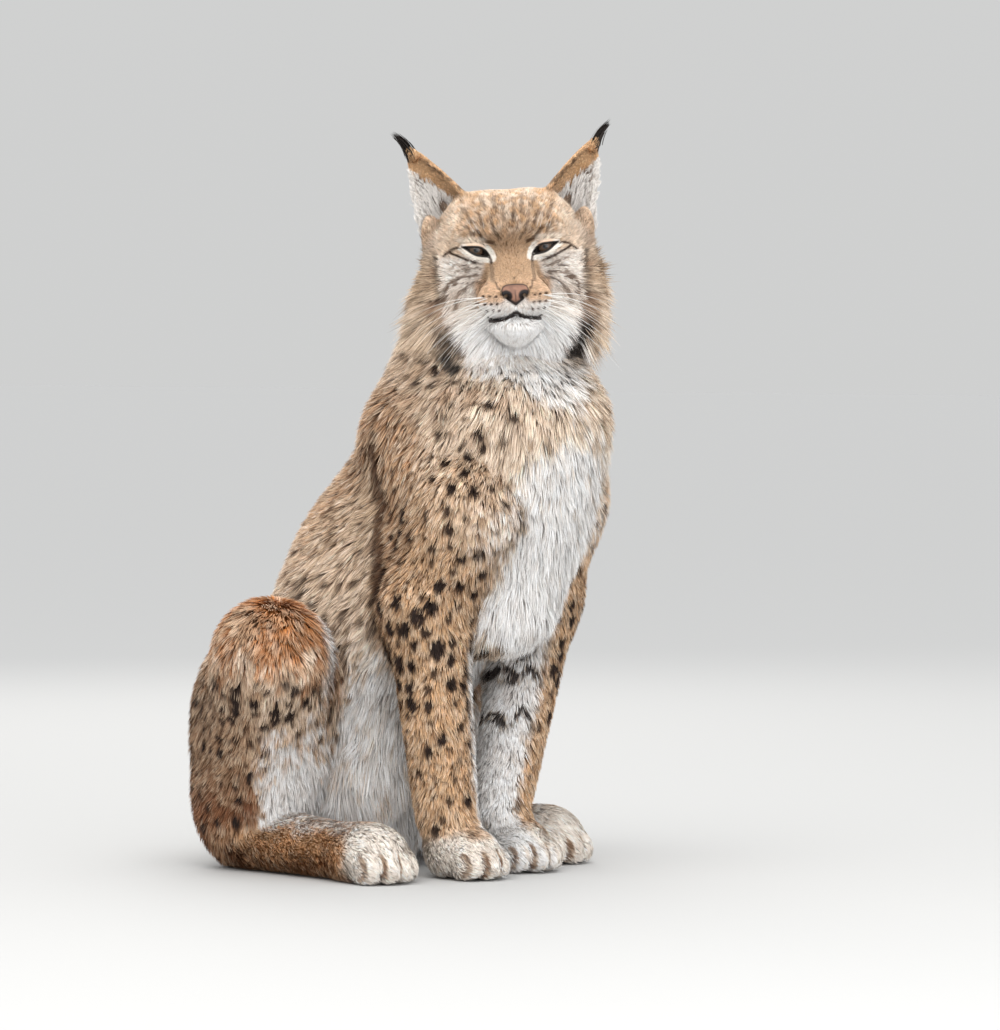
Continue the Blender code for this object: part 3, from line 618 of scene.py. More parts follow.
def ripples(points, size, seed, count=14):
    """A smooth random pattern in space, about -1 to 1, with features of the given size."""
    own = np.random.default_rng(seed)
    waves = unit(own.normal(size=(count, 3))) * (math.tau / size) * own.uniform(0.5, 1.5, (count, 1))
    return np.sin(points @ waves.T + own.uniform(0, math.tau, count)).sum(1) / math.sqrt(count)


def evenly(tone, count):
    return np.tile(np.array(tone), (count, 1))


def lay(colour, *layers):
    """Colour with layers laid over it in turn, each a tone and the share that it covers."""
    for tone, share in layers:
        colour = colour + (np.array(tone) - colour) * np.clip(share, 0, 1)[:, None]
    return colour


def tree_of(points):
    tree = KDTree(len(points))
    for index, point in enumerate(points):
        tree.insert(point, index)
    tree.balance()
    return tree


def nearest_in(tree, points):
    return np.array([tree.find(point)[1] for point in points.tolist()])


def place_spots():
    """Seeded spots on the skin, no nearer to each other than their zone allows, and their sizes."""
    own = np.random.default_rng(5)
    order = own.permutation(len(skin_points))[:SPOT_TRIES]
    taken, numbers, sizes = np.empty((0, 3)), [], []
    for at, where in zip(order, skin_shares[order].argmax(1)):
        if ZONES[where] not in SPOTS:
            continue
        spacing, along, across, darkness = SPOTS[ZONES[where]]
        spot = skin_points[at]
        if len(taken) and np.linalg.norm(taken - spot, axis=1).min() < spacing:
            continue
        taken = np.vstack([taken, spot])
        upper_leg = ease(0.15, 0.21, spot[2]) * ease(0.34, 0.27, spot[2])
        size = (0.48 + 0.80 * own.uniform() ** 1.6) * (0.85 + 0.45 * upper_leg)
        numbers.append(at)
        sizes.append((along * size, across * size, min(1.0, darkness * (0.35 + 0.75 * size))))
    return numbers, np.array(sizes)


spot_numbers, spot_size = place_spots()
spot_at, spot_normal, spot_lie = (found[spot_numbers] for found in (skin_points, skin_normals, skin_lies))
spot_tree = tree_of(spot_at)


def spot_share(points):
    """How far points lie in a spot, and in the brown halo round it."""
    nearest = nearest_in(spot_tree, points)
    off = points - spot_at[nearest]
    off -= (off * spot_normal[nearest]).sum(1)[:, None] * spot_normal[nearest]
    lie, (along_size, across_size, darkness) = spot_lie[nearest], spot_size[nearest].T
    along = (off * lie).sum(1)
    across = np.linalg.norm(off - along[:, None] * lie, axis=1)
    ring = np.hypot(along / along_size, across / across_size) + 0.22 * ripples(points, 0.007, 6)
    return darkness * ease(1.25, 0.80, ring), darkness * ease(2.1, 1.1, ring)


def segment_distance(across, up, start, end):
    (xa, za), (xb, zb) = start, end
    dx, dz = xb - xa, zb - za
    share = np.clip(((across - xa) * dx + (up - za) * dz) / (dx * dx + dz * dz), 0, 1)
    return np.hypot(across - xa - share * dx, up - za - share * dz)


def path_distance(across, up, path):
    """Distance of points of the face, seen from its front, to a line through path."""
    return np.minimum.reduce([segment_distance(across, up, *ends) for ends in zip(path, path[1:])])


def outline_distance(across, up, outline):
    """Signed distance of points to a closed outline in the plane, below zero inside it."""
    sides = list(zip(outline, outline[1:] + outline[:1]))
    found = np.minimum.reduce([segment_distance(across, up, *ends) for ends in sides])
    inside = np.zeros(np.shape(across), bool)
    for (xa, za), (xb, zb) in sides:
        if za != zb:
            inside ^= ((za > up) != (zb > up)) & (across < xa + (up - za) / (zb - za) * (xb - xa))
    return np.where(inside, -found, found)


def hind_leg_colour(colour, points, share):
    """Orange over the knee, pale below it, dark and spotted outside, white inside, red-brown at the heel."""
    height = points[:, 2]
    ahead = INWARDS * np.abs(points[:, 0]) + AHEAD * points[:, 1]
    wobble = 0.012 * ripples(points, 0.035, 21) + 0.008 * ripples(points, 0.012, 22)
    low, inside = height + wobble, ahead + wobble
    knee = share * ease(0.198, 0.240, height + 2.0 * wobble)
    knee = knee * ease(0.008, -0.012, 0.02 * ripples(points, 0.05, 24) - 0.012)
    knee_streaks = ease(0.35, 1.1, ripples(points, 0.020, 25)) * ease(0.010, -0.030, ahead)
    outside = share * ease(-0.030, -0.062, inside) * ease(0.225, 0.165, low)
    colour = lay(
        colour, (SHOULDER_TAN, 0.6 * share),
        (CREAM, 0.75 * share * ease(0.12, 0.19, low) * ease(0.25, 0.22, low)),
        (BROWN, 0.6 * share * ease(0.3, 1.0, ripples(points, 0.022, 23)) * ease(0.235, 0.215, height)),
        (ORANGE, 0.95 * knee), (CREAM, 0.38 * knee * knee_streaks),
        (ORANGE, 0.8 * share * ease(0.010, 0.035, inside) * ease(0.16, 0.20, height)),
        (BROWN, 0.65 * share * ease(0.035, 0.055, inside) * ease(0.16, 0.19, height)),
        (OUTER_THIGH, 0.92 * outside), (RED_BROWN, 0.9 * outside * ease(0.120, 0.055, low)),
    )
    white = share * ease(-0.050, -0.030, ahead + 0.6 * wobble) * ease(0.172, 0.108, height + 2.0 * wobble)
    return colour, white


def body_colour(points, normals, shares):
    """Colour of the body, with its white parts and its spots."""
    zone, (across, depth, height) = dict(zip(ZONES, shares.T)), points.T
    mottle, grain, fleck = (ripples(points, *form) for form in ((0.035, 1), (0.010, 3), (0.006, 4)))
    torso, neck, chest = zone["torso"], zone["neck"], zone["chest"]
    leg, hind = zone["foreleg"] + zone["forepaw"], zone["thigh"] + zone["shank"]
    front, outer = ease(-0.15, -0.6, normals[:, 1]), np.sign(across) * normals[:, 0]
    ahead = ease(-0.250, -0.300, depth + 0.006 * mottle)

    # The ground colour, from the back to the legs.
    back = torso * ease(0.2, 0.7, normals[:, 1] + 0.5 * normals[:, 2])
    flank = torso * ease(-0.200, -0.185, depth)
    shoulder = torso * ease(-0.185, -0.205, depth) * ease(0.28, 0.34, height)
    behind_leg = ease(-0.265, -0.215, depth + 0.3 * height - 0.1)
    dusky = (shoulder + leg) * ease(0.27, 0.32, height) * ease(0.43, 0.36, height) * (1 - ahead)
    colour = lay(
        evenly(FLANK, len(points)), (GREY_BUFF, 0.6 * ease(-0.7, 0.8, ripples(points, 0.09, 2))),
        (SHOULDER_TAN, 0.75 * back), (LEG, np.clip(leg + 0.8 * shoulder, 0, 1)),
        (SHOULDER_TAN, 0.85 * np.clip(leg + shoulder, 0, 1) * behind_leg),
        (CREAM, 0.75 * shoulder * ahead + (0.62 + 0.36 * front) * neck + 0.85 * chest),
        (SHOULDER_TAN, 0.40 * neck * ease(0.1, 0.9, mottle)),
        (CREAM, 0.58 * flank * ease(0.40, 0.28, height + 0.02 * mottle)),
        (BROWN, 0.38 * dusky * ease(-0.6, 0.8, mottle)),
        (BROWN, (0.45 * neck + 0.72 * shoulder + 0.55 * flank + 0.42 * leg) * ease(0.4, 1.3, grain)),
        (CREAM, (0.78 * shoulder + 0.72 * flank + 0.42 * leg) * ease(0.2, 1.1, fleck)),
    )
    colour, white = hind_leg_colour(colour, points, hind)

    # The hind feet, rust with a dark sole and a pale fringe along the top.
    hind_foot = np.clip(2.2 * zone["hindfoot"], 0, 1)
    foot = hind_foot * ease(-0.228, -0.205, depth + 0.008 * mottle)
    fringe = hind_foot * ease(0.044, 0.060, height + 0.004 * mottle)
    fringe = fringe * ease(-0.040, -0.080, depth) * ease(-0.235, -0.200, depth)
    colour = lay(
        colour, (HIND_FOOT, 0.95 * foot),
        (RED_BROWN, 0.50 * foot * ease(0.026, 0.008, height + 0.004 * mottle)),
        (RED_BROWN, 0.75 * foot * ease(-0.085, -0.030, depth + 0.01 * mottle)),
    )

    # The white of the belly, the bib and throat, and the insides of the legs.
    middle = ease(0.080, 0.035, np.abs(across + 0.01 * mottle))
    inner = leg * ease(-0.15, -0.55, outer)
    low = ease(0.22, 0.12, height + 0.03 * mottle) * ease(0.3, -0.2, normals[:, 1])
    throat = (neck + chest + torso) * front
    off_middle = np.abs(across + 0.008 + 0.006 * mottle)
    ragged = 0.014 * mottle + 0.010 * ripples(points, 0.016, 9)
    above_bib = height - BIB_TOP + BIB_SLOPE * np.maximum(off_middle - 0.020, 0) + ragged
    under_chin = (neck + chest) * ease(-0.10, -0.45, normals[:, 1])
    under_chin = under_chin * ease(0.062, 0.040, across + 0.5 * ragged)
    stripe = height - 0.85 * np.maximum(np.abs(across + 0.026) - 0.014, 0) + 0.5 * ragged
    pale = white + zone["belly"] + chest * middle * front * ease(0.46, 0.42, height)
    pale += inner + hind * ease(-0.25, -0.75, outer)
    pale += 0.85 * torso * low
    pale += throat * ease(0.024, -0.026, above_bib) * ease(0.108, 0.076, off_middle + 0.5 * ragged)
    pale += 0.95 * under_chin * ease(0.474, 0.502, stripe)
    pale = np.clip(pale + 0.75 * fringe, 0, 1)
    pale = np.clip(pale + 1.1 * fleck * pale * (1 - pale), 0, 1)
    toe = zone["forepaw"] * ease(0.060, 0.038, height + 0.004 * mottle)
    toe = np.clip(toe + hind_foot * ease(-0.205, -0.228, depth + 0.008 * mottle), 0, 1)
    smoky = (zone["belly"] + torso * low + chest * ease(0.35, 0.40, height)) * pale
    colour = lay(
        colour,
        (CREAM, 0.75 * throat * ease(0.050, 0.0, above_bib) * ease(0.125, 0.085, off_middle + ragged)),
        (TOE_CREAM, 0.92 * toe), (WHITE, 0.95 * pale),
        (BELLY_TAN, 0.62 * smoky * ease(0.2, 1.1, mottle * 0.6 + grain * 0.7)),
        (LOW_FLANK, 0.6 * flank * low * ease(0.9, 1.4, ripples(points, 0.018, 8))),
    )

    # The spots, painted shade in the creases behind the leg and knee, and the dark corner under the ruff.
    marks, halo = spot_share(points)
    spotted = 1 - hind * ease(0.195, 0.225, height)
    side = ease(0.050, 0.075, np.abs(across))
    elbow_crease_shade = ease(0.013, 0.004, np.abs(depth - ELBOW_CREASE + 0.003 * mottle)) * side
    behind = torso * ease(0.028, 0.012, np.abs(height - CREASE_ABOVE_KNEE))
    behind = behind * ease(-0.150, -0.135, depth) * ease(0.0, -0.04, depth)
    head_side, head_depth, head_up = to_head(points).T
    corner = path_distance(np.abs(head_side), head_up, CORNER_BELOW) + 1.5 * mottle
    under_ruff = neck * ease(80, 60, head_depth) * ease(-84, -94, head_up)
    colour = lay(
        colour, (BROWN, 0.55 * halo * (1 - 0.9 * pale) * (1 - toe) * spotted),
        (SPOT, marks * (1 - 0.35 * flank) * (1 - 0.85 * pale) * (1 - 0.9 * toe) * spotted),
        (CREASE_SHADE_AND_FOREHEAD_LINE, 0.85 * elbow_crease_shade * ease(0.28, 0.31, height) * ease(0.50, 0.44, height)),
        (CREASE_SHADE_AND_FOREHEAD_LINE, 0.55 * behind * side), (BLACK, 0.95 * under_ruff * ease(10.5, 6.5, corner)),
    )
    for level in BARS:
        bar = ease(0.0080, 0.0045, np.abs(height - level + 0.007 * mottle)) * inner * ease(0.9, 0.1, grain)
        colour = lay(colour, (SPOT, 0.95 * bar))
    # Brown lines in the clefts between the toes: painted shade.
    for toe_at, toe_ahead, across_toe in toes:
        off = points - toe_at
        beyond = np.where((off @ toe_ahead < 0.0) | (off @ toe_ahead > TOE_LENGTH), 1, 0)
        gap = np.abs(np.abs(off @ across_toe) - TOE_GAP) + beyond
        colour = lay(colour, (BROWN, 0.75 * ease(0.0018, 0.0007, gap) * ease(0.034, 0.028, height)))
    return lay(colour, (BLACK, 0.95 * ease(0.092, 0.130, across + 0.006 * mottle) * zone["tail"]))


# Marks of the face, seen from its front, in millimetres from between the eyes: outlines of the nose
# and an eye, and lines, each with its half width and how dark it is.
NOSE_RIGHT = ((8.4, -35.8), (12.6, -37.8), (14.4, -41.6), (14.0, -46), (10.8, -50.2), (5.2, -54.6))
NOSE_OUTLINE = ((0, -35.4),) + NOSE_RIGHT + ((0, -58.4),) + tuple((-x, z) for x, z in NOSE_RIGHT[::-1])
LID_OUTLINE = (
    (-13.8, -7.4), (-11.8, -2.8), (-8.6, 0.9), (-4.5, 3.4), (0.5, 4.3), (6.0, 4.6), (13.6, 4.3), (9.0, 0.4),
    (4.6, -3.0), (0.0, -5.4), (-4.8, -6.5), (-9.6, -7.2),
)
FOREHEAD_LINES = (
    ([(34, 21), (30, 13.5), (25, 9.4), (18, 7.0)], 1.5, 0.85), ([(45, 26), (39, 16.5)], 1.3, 0.60),
    ([(11, 12), (17, 19), (19, 29)], 1.3, 0.65), ([(5, 30), (6, 46)], 1.3, 0.55),
    ([(13, 38), (15, 54)], 1.4, 0.60), ([(27, 26), (31, 38)], 1.3, 0.65),
    ([(40, 30), (46, 44)], 1.4, 0.60), ([(24, 44), (29, 56)], 1.3, 0.50),
)
CHEEK_LINES = (
    ([(34, -19), (46, -18), (60, -22)], 1.1, 0.65), ([(38, -26), (52, -27), (64, -31)], 1.4, 0.80),
    ([(58, -33), (67, -34), (72, -42), (73, -56)], 1.9, 0.95),
    ([(45, -15.5), (54, -14), (61, -13.5)], 1.1, 0.70), ([(50, -39), (58, -46), (61, -60)], 1.7, 0.75),
    ([(31, -34), (40, -33), (50, -35)], 1.1, 0.65),
)
EYE_LINES = (
    ([(49, 4.2), (55, 4.4), (62, 2.0), (70, -4.0)], 1.1, 0.95),
    ([(63, -1), (52, -6.6), (46, -10), (38, -13)], 1.1, 0.95), ([(38, -13), (32, -14.5)], 0.9, 0.65),
    ([(22.4, -7.0), (21.6, -13)], 1.2, 0.90), ([(21.6, -13), (21.5, -22), (22, -31)], 1.8, 0.50),
    ([(19.5, -33), (18.5, -38), (15.5, -43), (12.5, -47)], 0.8, 0.75),
)
LIP_PATH = ((0, -65), (9, -70.5), (23, -72.5), (37, -69))
DOT_ROWS, DOT_SPACING, DOT_SIZE = ((20.5, -47.5), (19.5, -55.5), (17.5, -62.5)), 6.3, 1.5
CHIN_DOTS, CHIN_SPACING = (4.5, -78.5), 6.5
MOLE = -29
CHEEK_EDGE, CHEEK_SLOPE = 24, 0.28  # where the tan bridge ends, and how it widens downwards
CROWN, CROWN_RUST, BRIDGE = (0.60, 0.42, 0.28), (0.62, 0.34, 0.135), (0.46, 0.290, 0.165)
CHEEK, CHEEK_SHADE, PAD = (0.80, 0.725, 0.66), (0.42, 0.32, 0.25), (0.64, 0.42, 0.265)
CHEEK_LINE, EYE_LINE, DOT = (0.135, 0.085, 0.060), (0.045, 0.022, 0.014), (0.055, 0.026, 0.016)
UPPER_LID, LID_TAN, EYE_RIM = (0.76, 0.67, 0.575), (0.64, 0.44, 0.31), (0.90, 0.83, 0.75)
EAR_WHITE, EAR_HOLLOW_SHADE, EAR_TAN = (0.84, 0.78, 0.72), (0.17, 0.105, 0.075), (0.66, 0.385, 0.185)
EAR_EDGE, EAR_POCKET, EAR_PATCH = (0.06, 0.032, 0.020), (0.64, 0.42, 0.25), (0.50, 0.44, 0.37)
INNER_EDGE = ((44, 62), (97, 108))


def face_colour(points, normals, shares):
    """Colour of the head: blotched crown, tan bridge, pale lined cheeks, white chin and dark ruff corners."""
    zone, (side, depth, up) = dict(zip(ZONES, shares.T)), to_head(points).T
    across, front = np.abs(side), ease(40, 15, depth)
    fleck, patch = ripples(points, 0.006, 11), ripples(points, 0.013, 12)
    crown = ease(6, 22, up)
    past_bridge = across - CHEEK_EDGE - CHEEK_SLOPE * np.clip(-up, 0, 45)
    bridge = ease(4, -4, past_bridge) * ease(24, 9, up) * front
    cheek = ease(-2, 4, past_bridge) * ease(0, -9, up) * ease(80, 72, across) * ease(-92, -80, up)
    ruff = np.clip(ease(76, 84, across) + ease(52, 66, depth) * ease(10, -5, up), 0, 1)
    low = ease(-64, -80, up + 5 * fleck + 0.25 * (across - 30)) * ease(84, 72, across)
    corner = path_distance(across, up, DARK_CORNER)
    pad = ease(9, 16, across + 0.5 * (up + 52)) * ease(-59, -52, up)
    pad = pad * ease(-26, -36, up) * ease(43, 37, across)
    edge = np.abs(across - 79 + 2.0 * fleck)
    outer_line = ease(3.9, 1.7, edge) * ease(4, -6, up) * ease(-68, -50, up) * ease(50, 40, depth)
    colour = lay(
        evenly(CROWN, len(points)), (CROWN_RUST, 0.55 * crown * ease(0.0, 1.0, patch)),
        (CREAM, 0.65 * crown * ease(0.1, -0.9, patch)), (BROWN, 0.70 * crown * ease(0.45, 1.3, fleck)),
        (CREAM, 0.52 * ease(44, 62, across) * ease(70, 50, depth)), (BRIDGE, bridge), (CHEEK, 0.95 * cheek),
        (BROWN, 0.20 * cheek * ease(0.3, 1.1, fleck)),
        (CHEEK_SHADE, 0.45 * cheek * ease(16, 6, np.hypot(across - 62, up + 50))),
        (RUFF_BROWN, 0.9 * ruff), (BROWN, 0.60 * ruff * ease(0.2, 1.0, patch)),
        (CREAM, 0.62 * ruff * ease(-34, -60, up + 5 * patch)), (WHITE, low),
        (BROWN, 0.80 * ease(12, 7, corner + 2 * patch)),
        (BLACK, 0.97 * ease(9.5, 6.5, corner + 1.5 * patch) * ease(-72, -86, up)),
        (WHITE, 0.95 * np.clip(zone["muzzle"] * ease(-45, -53, up) + 1.5 * zone["chin"], 0, 1)),
        (PAD, 0.88 * pad * ease(14, 2, depth)), (SPOT, 0.75 * outer_line),
    )
    for path, half, dark in CHEEK_LINES:
        away = path_distance(across + 1.5 * patch, up + 1.5 * fleck, path)
        colour = lay(colour, (CHEEK_LINE, dark * ease(half + 1.0, half - 0.7, away)))
    for path, half, dark in FOREHEAD_LINES:
        away = path_distance(across + 1.2 * fleck, up, path)
        colour = lay(colour, (CREASE_SHADE_AND_FOREHEAD_LINE, dark * front * ease(half + 1.5, half - 0.5, away)))
    lids = outline_distance(across - EYE[0], up, LID_OUTLINE)
    over = up - 0.42 * (across - EYE[0])
    below = np.clip(ease(3.0, 0.5, over) + ease(EYE[0] - 7, EYE[0] - 11, across), 0, 1)
    colour = lay(
        colour, (UPPER_LID, 0.65 * front * ease(12, 8, lids) * (1 - below)),
        (LID_TAN, 0.85 * front * ease(3.8, 2.4, lids) * (1 - below)),
        (EYE_RIM, 0.97 * front * ease(6.6, 5.2, lids) * below),
    )
    for path, half, dark in EYE_LINES:
        away = path_distance(across, up, path)
        colour = lay(colour, (EYE_LINE, dark * front * ease(half + 0.9, half - 0.6, away)))
    for start, level in DOT_ROWS:
        nearest = (across - start + DOT_SPACING / 2) % DOT_SPACING - DOT_SPACING / 2
        off = np.hypot(nearest, up - level - 0.06 * (across - 28))
        on_pad = (across > start - 3) & (across < 39) & (depth < 10)
        colour = lay(colour, (DOT, 0.95 * ease(DOT_SIZE + 0.5, DOT_SIZE - 0.5, off) * on_pad))
    start, level = CHIN_DOTS
    chin_dots = np.hypot((across - start + CHIN_SPACING / 2) % CHIN_SPACING - CHIN_SPACING / 2, up - level)
    return lay(
        colour, (BROWN, 0.6 * ease(1.6, 0.8, chin_dots) * (across < 14) * (depth < -20)),
        (SPOT, 0.7 * ease(1.6, 0.6, np.hypot(across, up - MOLE))),
        (BLACK, 0.95 * ease(2.2, 1.1, path_distance(across, up, LIP_PATH)) * ease(10, -2, depth)),
    )


def ear_colour(points, normals, shares):
    """Colour of the ears: white and tan inside with painted shade in the hollow, black behind with a pale
    patch.
    """
    side, depth, up = to_head(points).T
    across = np.abs(side)
    inner = path_distance(across, up, INNER_EDGE) + 1.8 * ripples(points, 0.008, 51)
    hollow = path_distance(across, up, ((60, 26), (72, 50), (83, 74)))
    colour = lay(
        # The hollow low in the ear's cup is darkened: painted shade.
        evenly(EAR_WHITE, len(points)), (EAR_HOLLOW_SHADE, 0.92 * ease(14, 7, hollow)),
        (EAR_TAN, 0.95 * np.clip(ease(19, 14, inner) + ease(84, 100, up), 0, 1)),
        (EAR_EDGE, 0.70 * ease(2.4, 1.0, inner) * ease(100, 90, up) * ease(48, 62, up)),
        (EAR_POCKET, 0.9 * shares[:, ZONES.index("pocket")]),
    )
    patch = np.hypot((across - 74 - 0.30 * (up - 58)) / 15, (up - 58) / 27)
    patch = patch + 0.16 * ripples(points, 0.012, 52)
    behind = lay(evenly(EAR_PATCH, len(points)), (BLACK, 0.93 * ease(0.60, 1.20, patch)))
    return colour + (behind - colour) * ease(-0.1, 0.4, (normals @ HEAD_AXES)[:, 1])[:, None]


def zone_share(shares, first, last=None):
    """The share of a zone, or of all zones from first to last."""
    return shares[:, ZONES.index(first):ZONES.index(last or first) + 1].sum(1)


def markings(points, normals, shares):
    """The coat's colour at each point, for the skin and the hair alike."""
    colour = np.zeros((len(points), 3))
    ear, head = zone_share(shares, "ear", "pocket"), zone_share(shares, "skull", "lid")
    for share, paint in ((1 - head - ear, body_colour), (head, face_colour), (ear, ear_colour)):
        on = share > 0.01
        if on.any():
            colour[on] += share[on, None] * paint(points[on], normals[on], shares[on])
    return np.clip(colour, 0.005, 0.9)


def store_colour(mesh, colour):
    """Keep a colour for each point of a mesh in an attribute named coat, which its material reads."""
    made = mesh.color_attributes.new("coat", "FLOAT_COLOR", "POINT")
    rgba = np.concatenate([colour, np.ones((len(colour), 1))], 1)
    made.data.foreach_set("color", rgba.astype(np.float32).ravel())
    mesh.shade_smooth()
    return mesh


def painted_material(name, roughness, grain, bumpy=0.25, variation=0.25, specular=0.25):
    """A finish that takes its colour from the attribute coat, broken up by a fine grain."""
    made, tree, shader = new_material(name, roughness, specular)
    colour, where = add_node(tree, "ShaderNodeVertexColor"), add_node(tree, "ShaderNodeTexCoord")
    noise = add_node(tree, "ShaderNodeTexNoise", {"Scale": grain, "Detail": 3})
    shade = add_node(tree, "ShaderNodeMapRange", {"To Min": 1 - variation, "To Max": 1 + variation})
    rough = add_node(tree, "ShaderNodeMapRange", {"To Min": roughness * 0.85, "To Max": roughness * 1.12})
    bump = add_node(tree, "ShaderNodeBump", {"Strength": bumpy, "Distance": 0.0005})
    tone = add_node(tree, "ShaderNodeMix", {"Factor": 1})
    colour.layer_name, tone.data_type, tone.blend_type = "coat", "RGBA", "MULTIPLY"
    wire(
        tree, (where, "Object", noise, "Vector"), (noise, "Fac", shade, "Value"),
        (colour, "Color", tone, "A"), (shade, "Result", tone, "B"), (tone, "Result", shader, "Base Color"),
        (noise, "Fac", rough, "Value"), (rough, "Result", shader, "Roughness"),
        (noise, "Fac", bump, "Height"), (bump, "Normal", shader, "Normal"),
    )
    return made


def add_piece(name, mesh, finish, slot, *nodes):
    """A finished piece: it rides with the body and, if nodes are named, stands for them."""
    mesh.materials.append(finish)
    piece = place(name, mesh)
    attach(piece, "root")
    if nodes:
        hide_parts(*nodes)


# The skin takes the coat's markings at six tenths of their brightness: painted shade, for the skin lies deep
# under the hair.
skin_colour = markings(skin_points, skin_normals, skin_shares) * 0.6
# The skin round the eyeballs, inside the sockets and behind the lids, is painted black: painted shade.
side, depth, up = to_head(skin_points).T
socket = np.hypot((np.abs(side) - EYE[0]) / 16, up / 10) < 1
skin_colour[socket & (depth < 30)] = BLACK
store_colour(skin_mesh, skin_colour)
add_piece(
    "skin", skin_mesh, painted_material("hairy skin", 0.85, 900), "body_coat",
    "torso", "tail", "neck", "head", "ear_left", "ear_right", "foreleg_left", "foreleg_right",
    "forepaw_left", "forepaw_right", "hind_leg_left", "hind_leg_right", "hind_foot_left", "hind_foot_right",
)


# Coat.
# Each tuft is a thin tapered blade of hair that leaves the skin, rises to the coat's outline and lies
# along the body, drawn together with its neighbours in locks. It is long on the back, ruff and belly.
COATS = (  # piece, slot and zones, and whether it is split in a right and a left piece
    ("coat_flank", "body_coat", ("torso",), True), ("coat_front", "body_coat", ("chest", "belly"), False),
    ("coat_neck", "face_coat", ("neck",), False), ("coat_foreleg", "leg_coat", ("foreleg",), True),
    ("coat_hind_leg", "leg_coat", ("thigh", "shank"), True),
    ("coat_feet", "paw_coat", ("forepaw", "hindfoot"), False), ("coat_tail", "tail_coat", ("tail",), False),
    ("coat_crown", "face_coat", ("skull",), False),
    ("coat_face", "face_coat", ("face", "lid", "muzzle", "chin"), False),
    ("coat_ruff", "face_coat", ("cheek", "ruff", "jowl"), False),
    ("coat_ear", "ear_coat", ("ear", "pocket"), True),
)
# For each zone: tufts in a thousandth of a square metre, length and width in millimetres, how far the
# tip stands out of the outline for its length, and how strongly the tufts draw together.
HAIR = {
    "torso": (390, 15, 1.25, 0.17, 0.55), "chest": (360, 27, 1.4, 0.16, 0.50),
    "belly": (300, 42, 1.6, 0.16, 0.60), "neck": (590, 17, 1.0, 0.18, 0.50),
    "foreleg": (525, 9.5, 1.10, 0.14, 0.42), "forepaw": (650, 7.5, 1.05, 0.07, 0.20),
    "thigh": (400, 17, 1.38, 0.15, 0.50), "shank": (470, 13, 1.28, 0.15, 0.45),
    "hindfoot": (560, 9, 1.15, 0.05, 0.20), "tail": (420, 20, 1.5, 0.10, 0.30),
    "skull": (1000, 9.5, 0.85, 0.20, 0.35), "face": (2200, 4.5, 0.60, 0.05, 0.10),
    "cheek": (1800, 5.2, 0.65, 0.06, 0.15), "ruff": (950, 34, 1.00, 0.52, 0.60),
    "jowl": (1000, 26, 0.90, 0.34, 0.45), "muzzle": (2400, 3.2, 0.50, 0.04, 0.0),
    "chin": (1900, 7.0, 0.60, 0.12, 0.22), "lid": (2600, 2.0, 0.45, 0.02, 0.0),
    "ear": (1500, 3.8, 0.60, 0.06, 0.10), "pocket": (1500, 4.5, 0.6, 0.10, 0.10),
}
HAIR_OF_ZONE = np.array([HAIR[name] for name in ZONES])
STATIONS, WIDTHS = (0.0, 0.42, 1.0), (0.5, 1.0)  # places along a tuft, and its width at all but the tip
ROOT_DEPTH, DROOP = 0.0006, 0.10
LOCK_SIZE, LOCK_PULL = 14, 0.35  # tufts to a lock, and how far their roots' spread is kept at its tip
SWIRL, LIE_SPREAD, TWIST = 0.26, 0.17, 0.35  # radians
LENGTH_SPREAD, LENGTH_SWELL, SHADE_SPREAD, LOCK_SHADE = 0.18, 0.10, 0.15, 0.12
BLEACHED = (0.78, 0.60, 0.41)
DARK_HAIRS = 0.10
PATCH = 0.003


def bare(points):
    """Where no hair grows: the nose leather, the eyes and the gap between the lips."""
    side, depth, up = to_head(points).T
    across = np.abs(side)
    nose = outline_distance(side, up, NOSE_OUTLINE) < 0.3
    eye = outline_distance(across - EYE[0] + 0.8, up, LID_OUTLINE) < 3.0
    eye |= path_distance(across, up, ((25, -8), (21.5, -7.0))) < 3.6
    lips = path_distance(across, up, ((0, -62), (0, -65), (9, -70.5), (23, -72.5), (38, -68.5))) < 2.3
    return (nose & (depth < -38)) | (eye & (depth < 20)) | (lips & (depth < -2))


def grow_roots():
    """Seeded places on the skin, denser where the hair is finer, as a triangle and weights in it."""
    triangles = np.concatenate([skin_quads[:, [0, 1, 2]], skin_quads[:, [0, 2, 3]]])
    a, b, c = (skin_points[triangles[:, i]] for i in range(3))
    across = np.cross(b - a, c - a)
    area = np.linalg.norm(across, axis=1) / 2
    density = (skin_shares[triangles].mean(1) @ HAIR_OF_ZONE[:, 0]) * 1000
    sole = (area > 0) & (across[:, 2] < 0) & ((a + b + c)[:, 2] / 3 < 0.006)
    count = rng.poisson(area * density * ~sole)
    chosen = np.repeat(np.arange(len(triangles)), count)
    share = rng.uniform(size=(len(chosen), 2))
    flip = share.sum(1) > 1
    share[flip] = 1 - share[flip]
    weights = np.concatenate([1 - share.sum(1, keepdims=True), share], 1)
    return triangles[chosen], weights


def blend_at(values, corners, weights):
    return (values[corners] * weights[:, :, None]).sum(1)


def turned(vectors, axes, angle):
    """Vectors turned about axes at right angles to them."""
    return vectors * np.cos(angle)[:, None] + np.cross(axes, vectors) * np.sin(angle)[:, None]


def leaders_of(root, every):
    """For each tuft, the number of the tuft near it that its lock follows."""
    chosen = rng.permutation(len(root))[::every]
    return chosen[nearest_in(tree_of(root[chosen]), root)]


